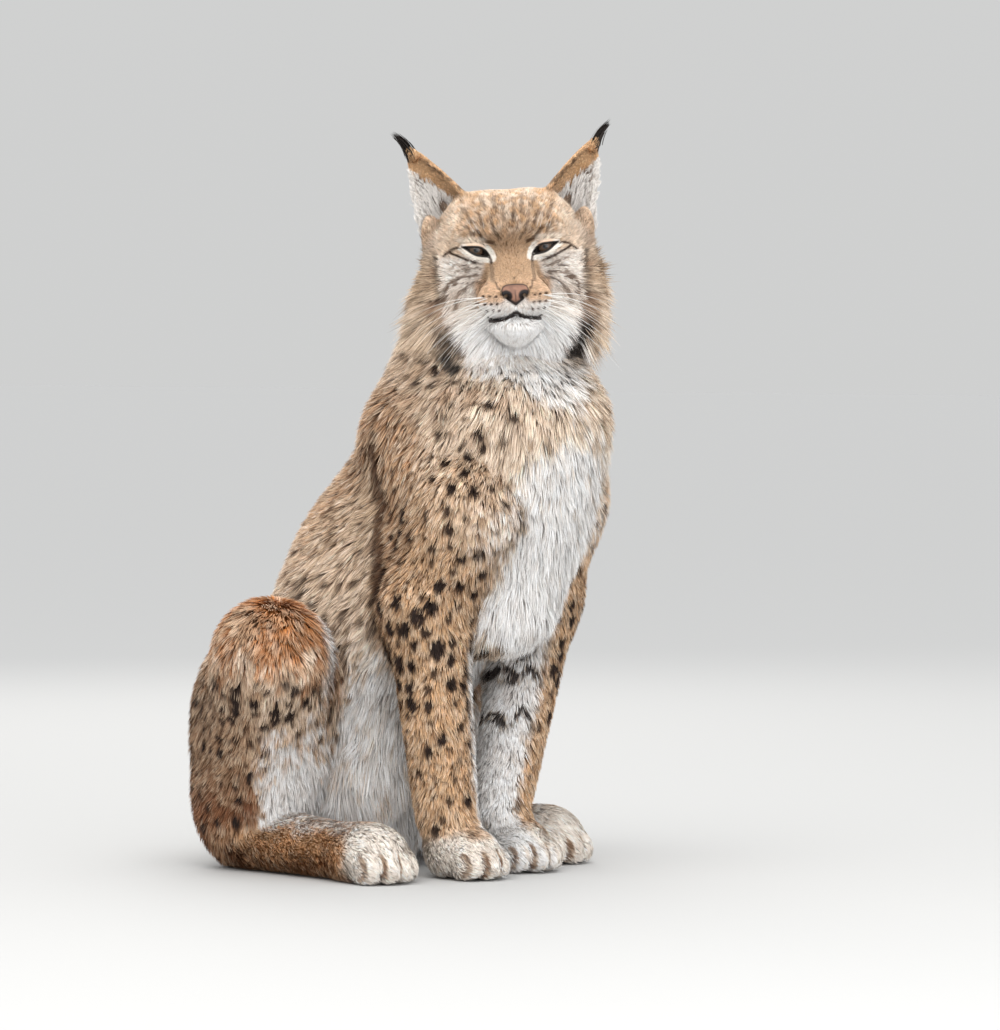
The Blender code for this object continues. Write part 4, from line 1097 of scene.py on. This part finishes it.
def hair_paths(root, normal, lie, depth, length, out, draw, leader):
    """Points along each tuft: up to the coat's outline, past it by out, and towards its lock."""
    path = [root - ROOT_DEPTH * normal]
    for share in STATIONS[1:]:
        above = depth * (1 - (1 - share) ** 1.7) + out * share**1.4
        at = root + lie * (length * share)[:, None] + normal * above[:, None]
        off = (above - depth) - coat_surface(at, 0)
        at += normal * np.clip(off, -0.012, 0.012)[:, None]
        at[:, 2] -= length * share**2 * DROOP
        at += (draw * share**1.5)[:, None] * (at[leader] - at - LOCK_PULL * (root[leader] - root))
        at[:, 2] = np.maximum(at[:, 2], FLOOR_LEVEL + 0.0003)
        path.append(at)
    return path


def hair_tones(path, normal, shares, leader, bridge):
    """Tones at the root, middle and tip: darker at the root, bleached at the tip, alike in a lock."""
    count = len(leader)
    shade = rng.normal(0, SHADE_SPREAD, count) + LOCK_SHADE * rng.normal(0, 1, count)[leader]
    shade = np.exp(shade * (1 - 0.65 * bridge))[:, None]
    middle = markings(path[1] + 0.60 * (path[2] - path[1]), normal, shares) * shade
    bright = ease(0.45, 0.70, middle.mean(1))
    varied = zone_share(shares, "torso", "tail") + 1.2 * zone_share(shares, "ruff")
    coloured = ease(0.08, 0.18, middle.mean(1)) * (1 - bright) * varied
    lock = rng.uniform(size=count)[leader]
    middle = lay(
        middle, (BROWN, 0.42 * coloured * ease(0.40, 0.05, lock)),
        (CREAM, 0.38 * coloured * ease(0.60, 0.95, lock)),
    )
    luck = rng.uniform(size=count)
    plain = ease(0.08, 0.20, middle.mean(1))
    bleached = lay(evenly(BLEACHED, count), (CREAM, 1 - varied), (WHITE, bright))
    tip = middle + (bleached - middle) * ((0.08 + 0.38 * luck + 0.32 * lock * coloured) * plain)[:, None]
    smooth = sum(zone_share(shares, name) for name in ("face", "muzzle", "lid", "ear"))
    smooth = np.maximum(smooth + 0.6 * zone_share(shares, "cheek"), bright)
    deep = lay(middle * (0.50 + 0.42 * smooth)[:, None], (BROWN, 0.45 * (1 - smooth) * plain))
    dark = (luck < DARK_HAIRS) & (bright < 0.3)
    middle[dark] *= 0.5
    tip[dark] *= 0.35
    return [deep, middle, tip]


def grow_hair(corners, weights):
    root = blend_at(skin_points, corners, weights)
    bottom, top = skin_grown[corners[:, 0]].T
    kept = ~bare(root) & (root[:, 2] >= bottom) & (root[:, 2] < top)
    root, corners, weights = root[kept], corners[kept], weights[kept]
    normal, shares, lie = (
        blend_at(values, corners, weights) for values in (skin_normals, skin_shares, skin_lies)
    )
    normal, count = unit(normal), len(root)
    lie = unit(lie - (lie * normal).sum(1)[:, None] * normal)
    side, _, up = to_head(root).T
    of_head = zone_share(shares, "cheek", "jowl")
    bridge = zone_share(shares, "face") * ease(30, 22, np.abs(side)) * ease(24, 8, up)
    swirl = SWIRL * ripples(root, 0.03, 31) + rng.normal(0, LIE_SPREAD, count)
    lie = turned(lie, normal, swirl * (1 - 0.6 * bridge))
    _, length, width, stand, draw = (shares @ HAIR_OF_ZONE).T
    length, width = length * MM, width * MM
    length *= np.exp(rng.normal(0, LENGTH_SPREAD, count) + LENGTH_SWELL * ripples(root, 0.012, 32))
    width *= rng.uniform(0.7, 1.25, count)
    length *= (1 - 0.45 * bridge) * (1 - of_head * (0.36 * ease(-62, -105, up) + 0.62 * ease(-38, 2, up)))
    depth = np.clip(-coat_surface(root, 0), 0.0004, 0.03)
    out = length * stand * rng.uniform(0.3, 1.5, count)
    leader = leaders_of(root, LOCK_SIZE)
    path = hair_paths(root, normal, lie, depth, length, out, draw, leader)
    across = turned(unit(np.cross(lie, normal)), lie, rng.normal(0, TWIST, count))
    tones = hair_tones(path, normal, shares, leader, bridge)
    zone = shares.argmax(1)
    side = np.where(zone >= ZONES.index("ear"), np.sign(to_head(path[0])[:, 0]), np.sign(root[:, 0]))
    return path, across, width, tones, zone, side


def blade_mesh(name, path, widths, across, width, colours):
    """A mesh of blades. path, widths and colours go from root to tip, and each blade ends in a point."""
    count, side = len(path[0]), across * (width / 2)[:, None]
    rings = [end for at, share in zip(path, widths) for end in (at - side * share, at + side * share)]
    tones = [tone for tone, _ in zip(colours, widths) for _ in range(2)]
    rings, tones = rings + [path[-1]], tones + [colours[-1]]
    size = len(rings)
    first = np.arange(count)[:, None] * size
    faces = [first + [2 * i, 2 * i + 1, 2 * i + 3, 2 * i + 2] for i in range(len(widths) - 1)]
    faces.append(first + [size - 3, size - 2, size - 1])
    mesh = fast_mesh(name, np.stack(rings, 1).reshape(-1, 3), faces)
    centre = path[0].mean(0)
    axes = np.linalg.svd(path[0][::5] - centre, full_matrices=False)[2]
    local = (path[0] - centre) @ axes.T
    unwrap = np.stack([np.arctan2(local[:, 1], local[:, 2]) / math.tau + 0.5, local[:, 0]], 1)
    unwrap[:, 1] = (unwrap[:, 1] - unwrap[:, 1].min()) / np.ptp(unwrap[:, 1])
    steps = [(end, i / len(widths)) for i in range(len(widths)) for end in (0, 1)] + [(0.5, 1)]
    spread = (0.98 * unwrap[:, None] + 0.01 + np.array(steps) * PATCH).reshape(-1, 2)
    used = np.empty(len(mesh.loops), np.int32)
    mesh.loops.foreach_get("vertex_index", used)
    layer = mesh.uv_layers.new(name="OFBake")
    layer.data.foreach_set("uv", spread[used].astype(np.float32).ravel())
    return store_colour(mesh, np.clip(np.stack(tones, 1).reshape(-1, 3), 0.004, 0.9))


hair_path, hair_across, hair_width, tones_along, hair_zone, hair_side = grow_hair(*grow_roots())
fur = painted_material("guard hair", 0.72, 700, 0.25, 0.20)
for name, slot, zones, split in COATS:
    in_zones = np.isin(hair_zone, [ZONES.index(zone) for zone in zones])
    for ending, sign in (("_right", -1), ("_left", 1)) if split else (("", 0),):
        chosen = in_zones & (hair_side == sign) if split else in_zones
        path, tones = ([values[chosen] for values in found] for found in (hair_path, tones_along))
        mesh = blade_mesh(name + ending, path, WIDTHS, hair_across[chosen], hair_width[chosen], tones)
        add_piece(name + ending, mesh, fur, slot)


# Eyelids and eyes.
# A lid of thin skin with a black margin closes round each eye and leaves a slanting slit half shut. The
# glass eye behind it has a domed clear front, a dark brown iris and a small round pupil.
LID_RINGS = (  # how far out from the edge of the lid's black margin and how far back, in millimetres
    (-1.9, 4.6), (-1.7, 2.4), (-1.4, 0.6), (-1.0, -0.4), (-0.5, -0.8), (0.2, -0.6), (1.3, -0.3), (3.2, -0.1),
    (6.0, 0.15), (8.0, 1.4),
)
LID_STEPS, LID_HALF_WIDTH = 84, 13.8
FACE_NEAR, FACE_FAR, FACE_STEP = -76.0, 40.0, 0.5
IRIS, PUPIL, DOME = 7.2, 2.3, 0.9
FRONT_RINGS, BACK_RINGS, RING_STEPS = 26, 14, 56
FRONT_ANGLE, DOME_ANGLE, BACK_START = 0.75, 0.72, 0.8
EYE_BROWN, EYE_STREAK = (0.062, 0.037, 0.024), (0.105, 0.062, 0.036)
IRIS_EDGE, PUPIL_BLACK = (0.016, 0.010, 0.008), (0.006, 0.006, 0.007)


def face_depth(across, up):
    """How far back the skin of the face lies, looking along the head's own Y."""
    depths = np.arange(FACE_NEAR, FACE_FAR, FACE_STEP)
    rays = np.stack(np.broadcast_arrays(across[:, None], depths, up[:, None]), -1)
    value = coat_surface(from_head(rays.reshape(-1, 3)), 1).reshape(len(across), -1)
    first = np.maximum((value < 0).argmax(1), 1)
    rows = np.arange(len(across))
    ahead, behind = value[rows, first - 1], value[rows, first]
    return depths[first] - FACE_STEP * behind / np.minimum(behind - ahead, -1e-9)


def smooth_loop(outline, count):
    """Points along a closed smooth line through an outline, and the way out from it at each."""
    corners = np.array(outline, float)
    at = np.linspace(0, len(corners), count, endpoint=False)
    low, share = at.astype(int), (at % 1)[:, None]
    p0, p1, p2, p3 = (corners[(low + i) % len(corners)] for i in (-1, 0, 1, 2))
    line = 0.5 * (
        2 * p1 + (p2 - p0) * share + (2 * p0 - 5 * p1 + 4 * p2 - p3) * share**2
        + (3 * p1 - p0 - 3 * p2 + p3) * share**3
    )
    ahead = unit(np.roll(line, -1, 0) - np.roll(line, 1, 0))
    out = np.stack([ahead[:, 1], -ahead[:, 0]], 1)
    area = (line[:, 0] * np.roll(line[:, 1], -1) - np.roll(line[:, 0], -1) * line[:, 1]).sum()
    return line, out * (1 if area > 0 else -1)


def ring_faces(rings, count, flip=False):
    """Quads between rings of count points each."""
    low = np.arange(count)
    high = (low + 1) % count
    quads = np.concatenate([
        np.stack([low, high, count + high, count + low], 1) + i * count for i in range(rings - 1)
    ])
    return quads[:, ::-1] if flip else quads


def lid_mesh(side, sign):
    """Rings round the eye, from its black margin over the skin of the face."""
    line, out = smooth_loop(LID_OUTLINE, LID_STEPS)
    points = []
    for offset, sunk in LID_RINGS:
        pinch = 1 if offset > 0 else np.clip(1.08 - (line[:, 0] / LID_HALF_WIDTH) ** 2, 0.04, 1)
        spot = line + out * np.broadcast_to(offset * pinch, len(line))[:, None]
        across, up = sign * (EYE[0] + spot[:, 0]), spot[:, 1]
        lids = np.stack([across, face_depth(across, up) + sunk, up], 1)
        ball = np.sqrt(np.maximum((EYE_RADIUS + 0.25) ** 2 - spot[:, 0] ** 2 - up**2, 0))
        if sunk > 1 and offset < 0:
            lids[:, 1] = np.where(ball > 0, np.maximum(lids[:, 1], EYE[1] - ball + 0.6), lids[:, 1])
        points.append(from_head(lids))
    points = np.concatenate(points)
    shares = np.tile(np.eye(len(ZONES))[ZONES.index("lid")], (len(points), 1))
    tones = markings(points, evenly(-HEAD_AXES[:, 1], len(points)), shares)
    offset = np.repeat([o for o, _ in LID_RINGS], LID_STEPS)
    mesh = fast_mesh(f"lids_{side}", points, [ring_faces(len(LID_RINGS), LID_STEPS, sign < 0)])
    return store_colour(mesh, lay(tones, (BLACK, ease(1.3, 0.3, offset))))


def eye_mesh(side, sign):
    """A ball with its pole to the front, whose iris is flat behind a low dome."""
    angles = np.concatenate([
        np.linspace(0, FRONT_ANGLE, FRONT_RINGS), np.linspace(BACK_START, math.pi, BACK_RINGS)
    ])
    turn = np.arange(RING_STEPS) * math.tau / RING_STEPS
    radius = EYE_RADIUS + DOME * np.clip(1 - angles / DOME_ANGLE, 0, 1) ** 0.8
    ring = (radius * np.sin(angles))[:, None]
    back = (-radius * np.cos(angles))[:, None] + 0 * turn
    local = np.stack([ring * np.cos(turn), back, ring * np.sin(turn)], -1)
    points = from_head(local.reshape(-1, 3) + (EYE[0] * sign, EYE[1], EYE[2]))
    mesh = fast_mesh(f"eye_{side}_ball", points, [ring_faces(len(angles), RING_STEPS)])
    front, turns = angles < math.pi / 2, np.tile(turn, len(angles))
    away = np.repeat(np.where(front, EYE_RADIUS * np.sin(angles), 2 * EYE_RADIUS), RING_STEPS)
    streak = 0.5 + 0.5 * np.sin(turns * 23 + 2.5 * np.sin(turns * 7))
    return store_colour(mesh, lay(
        evenly(EYE_BROWN, len(points)), (EYE_STREAK, 0.6 * streak * ease(PUPIL, PUPIL + 2.5, away)),
        (IRIS_EDGE, ease(IRIS - 1.6, IRIS, away)), (PUPIL_BLACK, ease(PUPIL + 0.4, PUPIL - 0.2, away)),
    ))


lid_finish = painted_material("lid skin", 0.55, 1500, 0.5, 0.2, 0.3)
eye_finish = painted_material("glass eye", 0.16, 900, 0.02, 0.12, 0.35)
eye_shader = eye_finish.node_tree.nodes["Principled BSDF"]
eye_shader.inputs["Coat Weight"].default_value = 0.25
eye_shader.inputs["Coat Roughness"].default_value = 0.03
for side, sign in SIDES.items():
    add_piece(f"lids_{side}", lid_mesh(side, sign), lid_finish, "face_coat")
    add_piece(f"eyeball_{side}", eye_mesh(side, sign), eye_finish, "eye", f"eye_{side}")


# Nose and lips.
# The nose leather is a bare, finely pebbled pad, brownish pink with a dark rim and open nostrils. The
# lips are thin and black, and part in a shallow bow under the whisker pads.
NOSE_BOX = ((-18, 18), (-66, -42), (-64, -34))
NOSE_SPACING, NOSE_BACK = 0.0007, -46
NOSTRIL, NOSTRIL_SIZE = (9.6, -47.8), (5.6, 5.2)
NOSE_WING = ((13.2, -46.5), (10, -51.0), (6, -54.6), (0, -58.4))
LEATHER, LEATHER_SHADE, LEATHER_TOP = (0.265, 0.138, 0.092), (0.17, 0.085, 0.06), (0.13, 0.070, 0.050)
# The first and last of these darken the middle groove and the insides of the nostrils as painted shade.
GROOVE_SHADE, WING, NOSE_RIM, NOSTRIL_SHADE = (
    (0.05, 0.028, 0.022), (0.012, 0.008, 0.008), (0.014, 0.009, 0.008), (0.008, 0.005, 0.005)
)
LIP_BLACK, LIP_SHEEN = (0.020, 0.014, 0.013), (0.07, 0.045, 0.04)
HALF_LIP = ((-38, -67.8), (-31, -70.5), (-23, -72.4), (-16, -72.2), (-10, -70.4), (-4, -67))
LIP_LINE = HALF_LIP + ((0, -65.4),) + tuple((-x, z) for x, z in HALF_LIP[::-1])
LOWER_LIP = tuple((x * 0.93, z - 2.9) for x, z in LIP_LINE)
LIPS = (("lower_lip", LOWER_LIP, 3.0, 2.2), ("upper_lip", LIP_LINE, 1.4, 0.7))  # line, radius, how deep
LIP_STEPS, LIP_SIDES = 70, 10


def nose_mesh():
    """The head's own form at the nose, cut to the outline of the leather."""
    corners = np.array([from_head((x, y, z)) for x in NOSE_BOX[0] for y in NOSE_BOX[1] for z in NOSE_BOX[2]])
    clay = Clay(corners.min(0), corners.max(0), NOSE_SPACING)
    for mass in masses:
        if np.all(mass.shape.high > corners.min(0) - 0.03) and np.all(mass.shape.low < corners.max(0) + 0.03):
            clay.add(mass)
    grid = np.stack(np.meshgrid(*clay.axes, indexing="ij"), -1)
    side, depth, up = to_head(grid.reshape(-1, 3)).T
    rim = outline_distance(side, up, NOSE_OUTLINE).reshape(clay.value.shape) * MM
    behind = (depth.reshape(clay.value.shape) - NOSE_BACK) * MM
    clay.value = -smooth_min(-(clay.value - 0.0006), -rim, 0.0012)
    clay.value = np.maximum(clay.value, behind)
    points, quads = clay.surface()
    side, _, up = to_head(points).T
    across = np.abs(side)
    nostril = np.hypot((across - NOSTRIL[0]) / NOSTRIL_SIZE[0], (up - NOSTRIL[1]) / NOSTRIL_SIZE[1])
    return store_colour(fast_mesh("nose_leather", points, [quads]), lay(
        evenly(LEATHER, len(points)), (LEATHER_SHADE, 0.6 * ease(-0.3, 0.9, ripples(points, 0.006, 41))),
        # The groove down the middle of the leather and the insides of the nostrils are painted dark: painted
        # shade.
        (GROOVE_SHADE, 0.6 * ease(1.1, 0.3, across) * ease(-40, -45, up)),
        (WING, 0.95 * ease(4.0, 2.6, path_distance(across, up, NOSE_WING))),
        (LEATHER_TOP, 0.7 * ease(-40, -36.5, up)),
        (NOSE_RIM, ease(-1.6, -0.5, outline_distance(side, up, NOSE_OUTLINE))),
        (NOSTRIL_SHADE, ease(1.35, 0.95, nostril)),
    ))


def lip_tube(name, line, radius, sunk):
    """A soft round edge along a line on the face, thinning to its ends."""
    line, kernel = np.array(line, float), np.hanning(9) / np.hanning(9).sum()
    at = np.linspace(0, len(line) - 1, LIP_STEPS)

    def smoothed(values):
        return np.convolve(np.pad(values, 4, "edge"), kernel, "valid")

    across, up = (smoothed(np.interp(at, range(len(line)), line[:, i])) for i in (0, 1))
    path = np.stack([across, smoothed(face_depth(across, up) + sunk), up], 1)
    ahead = unit(np.gradient(path, axis=0))
    first = unit(np.cross(ahead, (0, 1, 0)))
    second = np.cross(ahead, first)
    turn = np.arange(LIP_SIDES) * math.tau / LIP_SIDES
    thin = radius * np.clip(np.sin(np.linspace(0.02, math.pi - 0.02, LIP_STEPS)) ** 0.3, 0.05, 1)
    ring = path[:, None] + thin[:, None, None] * (
        np.cos(turn)[:, None] * first[:, None] + np.sin(turn)[:, None] * second[:, None]
    )
    points = from_head(ring.reshape(-1, 3))
    tone = lay(evenly(LIP_BLACK, len(points)), (LIP_SHEEN, 0.5 * ease(0, 1, ripples(points, 0.005, 44))))
    return store_colour(fast_mesh(name, points, [ring_faces(LIP_STEPS, LIP_SIDES)]), tone)


leather = painted_material("nose leather", 0.45, 1100, 0.8, 0.18, 0.28)
add_piece("nose_leather", nose_mesh(), leather, "nose_leather", "nose")
for name, line, radius, sunk in LIPS:
    add_piece(name, lip_tube(name, line, radius, sunk), leather, "face_coat")


# Ears' long hair.
# The inside of each ear is hung with long white hair that streams out across the opening, and the tip
# carries a black brush, which curves outwards.
INNER_TUFTS, BRUSH_TUFTS = 1700, 260
INNER_HAIR, INNER_LOCK, INNER_PULLS = (0.88, 0.84, 0.80), 11, (0.25, 0.60)
HAIR_BY_HEIGHT = ((10, 40, 95), (19, 16, 7))  # heights in the ear and the hair's length there
BRUSH = (  # points of the brush's middle line, and how far its hairs spread there
    ((97.0, 62.0, 101.0), (2.3, 2.0, 3.2)), ((101.0, 61.0, 116.5), (1.9, 1.7, 1.5)),
    ((115.0, 60.0, 126.5), (1.2, 1.3, 1.8)),
)
BRUSH_STATIONS, BRUSH_WIDTHS = (0, 0.25, 0.5, 0.75, 1.0), (0.7, 1.0, 0.95, 0.7)


def ear_hair(side, sign):
    """Long white hair from the inside of an ear, fanned outwards and upwards."""
    own = np.random.default_rng(60 + int(sign))
    front = np.flatnonzero(
        (skin_shares[:, ZONES.index("ear")] > 0.5) & (np.sign(to_head(skin_points)[:, 0]) == sign)
        & ((skin_normals @ HEAD_AXES)[:, 1] < -0.15)
    )
    spot, _, up = to_head(skin_points[front]).T
    across = np.abs(spot)
    inner, gap = (path_distance(across, up, path) for path in (INNER_EDGE, ((60, 28), (66, 46))))
    within = (inner > 17) & (up < 90) & (up > 12) & (across > 57 - 0.2 * (up - 20)) & (gap > 4.5)
    root = skin_points[own.choice(front[within], INNER_TUFTS)] + own.normal(0, 0.0012, (INNER_TUFTS, 3))
    spot, _, up = to_head(root).T
    across = np.abs(spot)
    fan = math.radians(68) + 0.010 * (70 - across) + own.normal(0, 0.16, INNER_TUFTS)
    lie = np.stack([sign * np.cos(fan), np.full(INNER_TUFTS, -0.30), np.sin(fan)], 1)
    length = own.uniform(0.65, 1.2, INNER_TUFTS) * np.interp(up, *HAIR_BY_HEIGHT) * MM
    length *= 1 - 0.5 * ease(76, 88, across + 0.10 * (70 - up))
    lie, length = unit(lie) @ HEAD_AXES.T, length[:, None]
    path = [root, root + 0.5 * length * lie - 0.10 * length * HEAD_AXES[:, 1], root + length * lie]
    leader = leaders_of(root, INNER_LOCK)
    for at, pull in zip(path[1:], INNER_PULLS):
        at += pull * (at[leader] - at)
    width = own.uniform(0.5, 0.95, INNER_TUFTS) * MM
    facing = unit(np.cross(lie, np.cross(HEAD_AXES[:, 1], lie)))
    tone = evenly(INNER_HAIR, INNER_TUFTS) * own.uniform(0.75, 1.02, (INNER_TUFTS, 1))
    turned_across = turned(unit(np.cross(lie, facing)), lie, own.normal(0, 0.5, INNER_TUFTS))
    return blade_mesh(f"ear_hair_{side}", path, WIDTHS, turned_across, width, [tone * 0.75, tone, tone])


def ear_brush(side, sign):
    """The black brush at the tip of an ear."""
    own = np.random.default_rng(70 + int(sign))
    spread = own.normal(0, 1, (BRUSH_TUFTS, 3))
    root, bend, tip = (np.array(mirrored(middle, sign)) + spread * wide for middle, wide in BRUSH)
    share = own.uniform(0.55, 1.0, BRUSH_TUFTS)[:, None]
    path = []
    for along in BRUSH_STATIONS:
        at = along * share
        path.append(from_head((1 - at) ** 2 * root + 2 * at * (1 - at) * bend + at**2 * tip))
    lie = unit(path[2] - path[0])
    across = turned(unit(np.cross(lie, HEAD_AXES[:, 1])), lie, own.uniform(0, math.pi, BRUSH_TUFTS))
    width = own.uniform(0.7, 1.3, BRUSH_TUFTS) * MM
    tone = evenly(BLACK, BRUSH_TUFTS) * own.uniform(0.6, 1.8, (BRUSH_TUFTS, 1))
    return blade_mesh(f"ear_brush_{side}", path, BRUSH_WIDTHS, across, width, [tone] * len(path))


for side, sign in SIDES.items():
    add_piece(f"ear_hair_{side}", ear_hair(side, sign), fur, "ear_coat")
    add_piece(f"ear_brush_{side}", ear_brush(side, sign), fur, "ear_coat")


# Whiskers.
# Long stiff white bristles stand in four rows on each whisker pad, with a few over each eye. Geometry
# Nodes turn their lines into round bristles that thin to a point.
PAD_ROWS, PAD_PLACES, PAD_START, PAD_SPACING = (-48, -53, -58, -62), 5, 15, 4.6
BROW_START, BROW_SPACING, BROW_PLACES, BROW_LEVEL = 26, 4.5, 4, 15.5
PAD_LENGTHS, BROW_LENGTHS = (48, 92), (22, 38)
PAD_THICKNESS, BROW_THICKNESS, END_SHARE = 0.36, 0.22, 0.12
WHISKER_STEPS, WHISKER_SIDES, SAG = 14, 5, 0.30
BRISTLE = ((0.70, 0.67, 0.62, 1), (0.88, 0.87, 0.85, 1))


def whisker_lines():
    """The line of each whisker and how thick it is, first the pads' rows and then the brows'."""
    own = np.random.default_rng(80)
    lines = []
    for sign in SIDES.values():
        for row, level in enumerate(PAD_ROWS):
            for number in range(PAD_PLACES):
                across = PAD_START + PAD_SPACING * number + 1.5 * (row % 2)
                slope = -0.05 - 0.16 * row
                lines.append((sign, across, level - 0.2 * number, own.uniform(*PAD_LENGTHS), slope, False))
        for number in range(BROW_PLACES):
            across = BROW_START + BROW_SPACING * number
            lines.append((sign, across, BROW_LEVEL, own.uniform(*BROW_LENGTHS), 1.3, True))
    signs, acrosses, ups = (np.array([line[i] for line in lines]) for i in range(3))
    along = np.linspace(0, 1, WHISKER_STEPS)[:, None]
    for (sign, across, up, length, slope, brow), back in zip(lines, face_depth(signs * acrosses, ups)):
        ahead = np.array((sign, own.uniform(0.15, 0.55), slope + own.normal(0, 0.10)))
        if brow:
            ahead = np.array((sign * own.uniform(0.1, 0.6), -0.5, 1.0))
        sag = np.array((0, SAG * length, 0 if brow else -SAG * length)) * along**2
        line = np.array((sign * across, back + 1, up)) + unit(ahead) * length * along + sag
        yield from_head(line), BROW_THICKNESS if brow else PAD_THICKNESS


def whisker_tree(finish):
    """Nodes that turn lines into round bristles, and the names of their thickness and sides."""
    tree = bpy.data.node_groups.new("Bristles", "GeometryNodeTree")
    sockets = [
        tree.interface.new_socket(name, in_out=way, socket_type="NodeSocket" + kind) for name, way, kind in (
            ("Lines", "INPUT", "Geometry"), ("Thickness", "INPUT", "Float"), ("Sides", "INPUT", "Int"),
            ("Bristles", "OUTPUT", "Geometry"),
        )
    ]
    names = [sockets[number].identifier for number in (1, 2)]
    inputs, output, along, own, total, circle, realize = (add_node(tree, kind) for kind in (
        "NodeGroupInput", "NodeGroupOutput", "GeometryNodeSplineParameter", "GeometryNodeInputRadius",
        "ShaderNodeMath", "GeometryNodeCurvePrimitiveCircle", "GeometryNodeRealizeInstances",
    ))
    thin = add_node(tree, "ShaderNodeMapRange", {"To Min": 1.0, "To Max": END_SHARE})
    sweep = add_node(tree, "GeometryNodeCurveToMesh", {"Fill Caps": True})
    paint = add_node(tree, "GeometryNodeSetMaterial", {"Material": finish})
    total.operation = "MULTIPLY"
    wire(
        tree, (along, "Factor", thin, "Value"), (thin, "Result", total, 0), (own, "Radius", total, 1),
        (total, "Value", sweep, "Scale"), (inputs, "Thickness", circle, "Radius"),
        (inputs, "Sides", circle, "Resolution"), (inputs, "Lines", sweep, "Curve"),
        (circle, "Curve", sweep, "Profile Curve"), (sweep, "Mesh", realize, "Geometry"),
        (realize, "Geometry", paint, "Geometry"), (paint, "Geometry", output, "Bristles"),
    )
    return tree, *names


def bristle_finish():
    made, tree, shader = new_material("white bristle", 0.35, 0.5)
    where, ramp = add_node(tree, "ShaderNodeTexCoord"), add_node(tree, "ShaderNodeValToRGB")
    noise = add_node(tree, "ShaderNodeTexNoise", {"Scale": 160})
    bump = add_node(tree, "ShaderNodeBump", {"Strength": 0.2, "Distance": 0.0002})
    for stop, tone in zip(ramp.color_ramp.elements, BRISTLE):
        stop.color = tone
    wire(
        tree, (where, "Object", noise, "Vector"), (noise, "Fac", ramp, "Fac"),
        (ramp, "Color", shader, "Base Color"), (noise, "Fac", bump, "Height"),
        (bump, "Normal", shader, "Normal"),
    )
    return made


lines = bpy.data.curves.new("whisker lines", "CURVE")
lines.dimensions = "3D"
for line, thick in whisker_lines():
    spline = lines.splines.new("POLY")
    spline.points.add(len(line) - 1)
    for point, spot in zip(spline.points, line):
        point.co, point.radius = (*spot, 1), thick
line_object = place("whisker lines", lines)
finish = bristle_finish()
tree, thickness, sides = whisker_tree(finish)
bristles = line_object.modifiers.new("Bristles", "NODES")
bristles.node_group = tree
bristles[thickness], bristles[sides] = MM, WHISKER_SIDES
bpy.context.view_layer.update()
evaluated = line_object.evaluated_get(bpy.context.evaluated_depsgraph_get())
whiskers = bpy.data.meshes.new_from_object(evaluated)
line_object.modifiers.remove(bristles)
bpy.data.objects.remove(line_object)
whiskers.name = "whiskers"
whiskers.materials.clear()
whiskers.shade_smooth()
add_piece("whiskers", whiskers, finish, "face_coat")


# Floor.
# The model stands on a plain pale floor.
FLOOR_HALF = 30
floor_mesh = bpy.data.meshes.new("floor")
floor_corners = [(x * FLOOR_HALF, y * FLOOR_HALF, 0) for x, y in ((-1, -1), (1, -1), (1, 1), (-1, 1))]
floor_mesh.from_pydata(floor_corners, [], [(0, 1, 2, 3)])
floor = place("floor", floor_mesh)
plain, tree, shader = new_material("pale floor", 0.9)
shader.inputs["Base Color"].default_value = (0.50, 0.50, 0.495, 1)
floor_mesh.materials.append(plain)
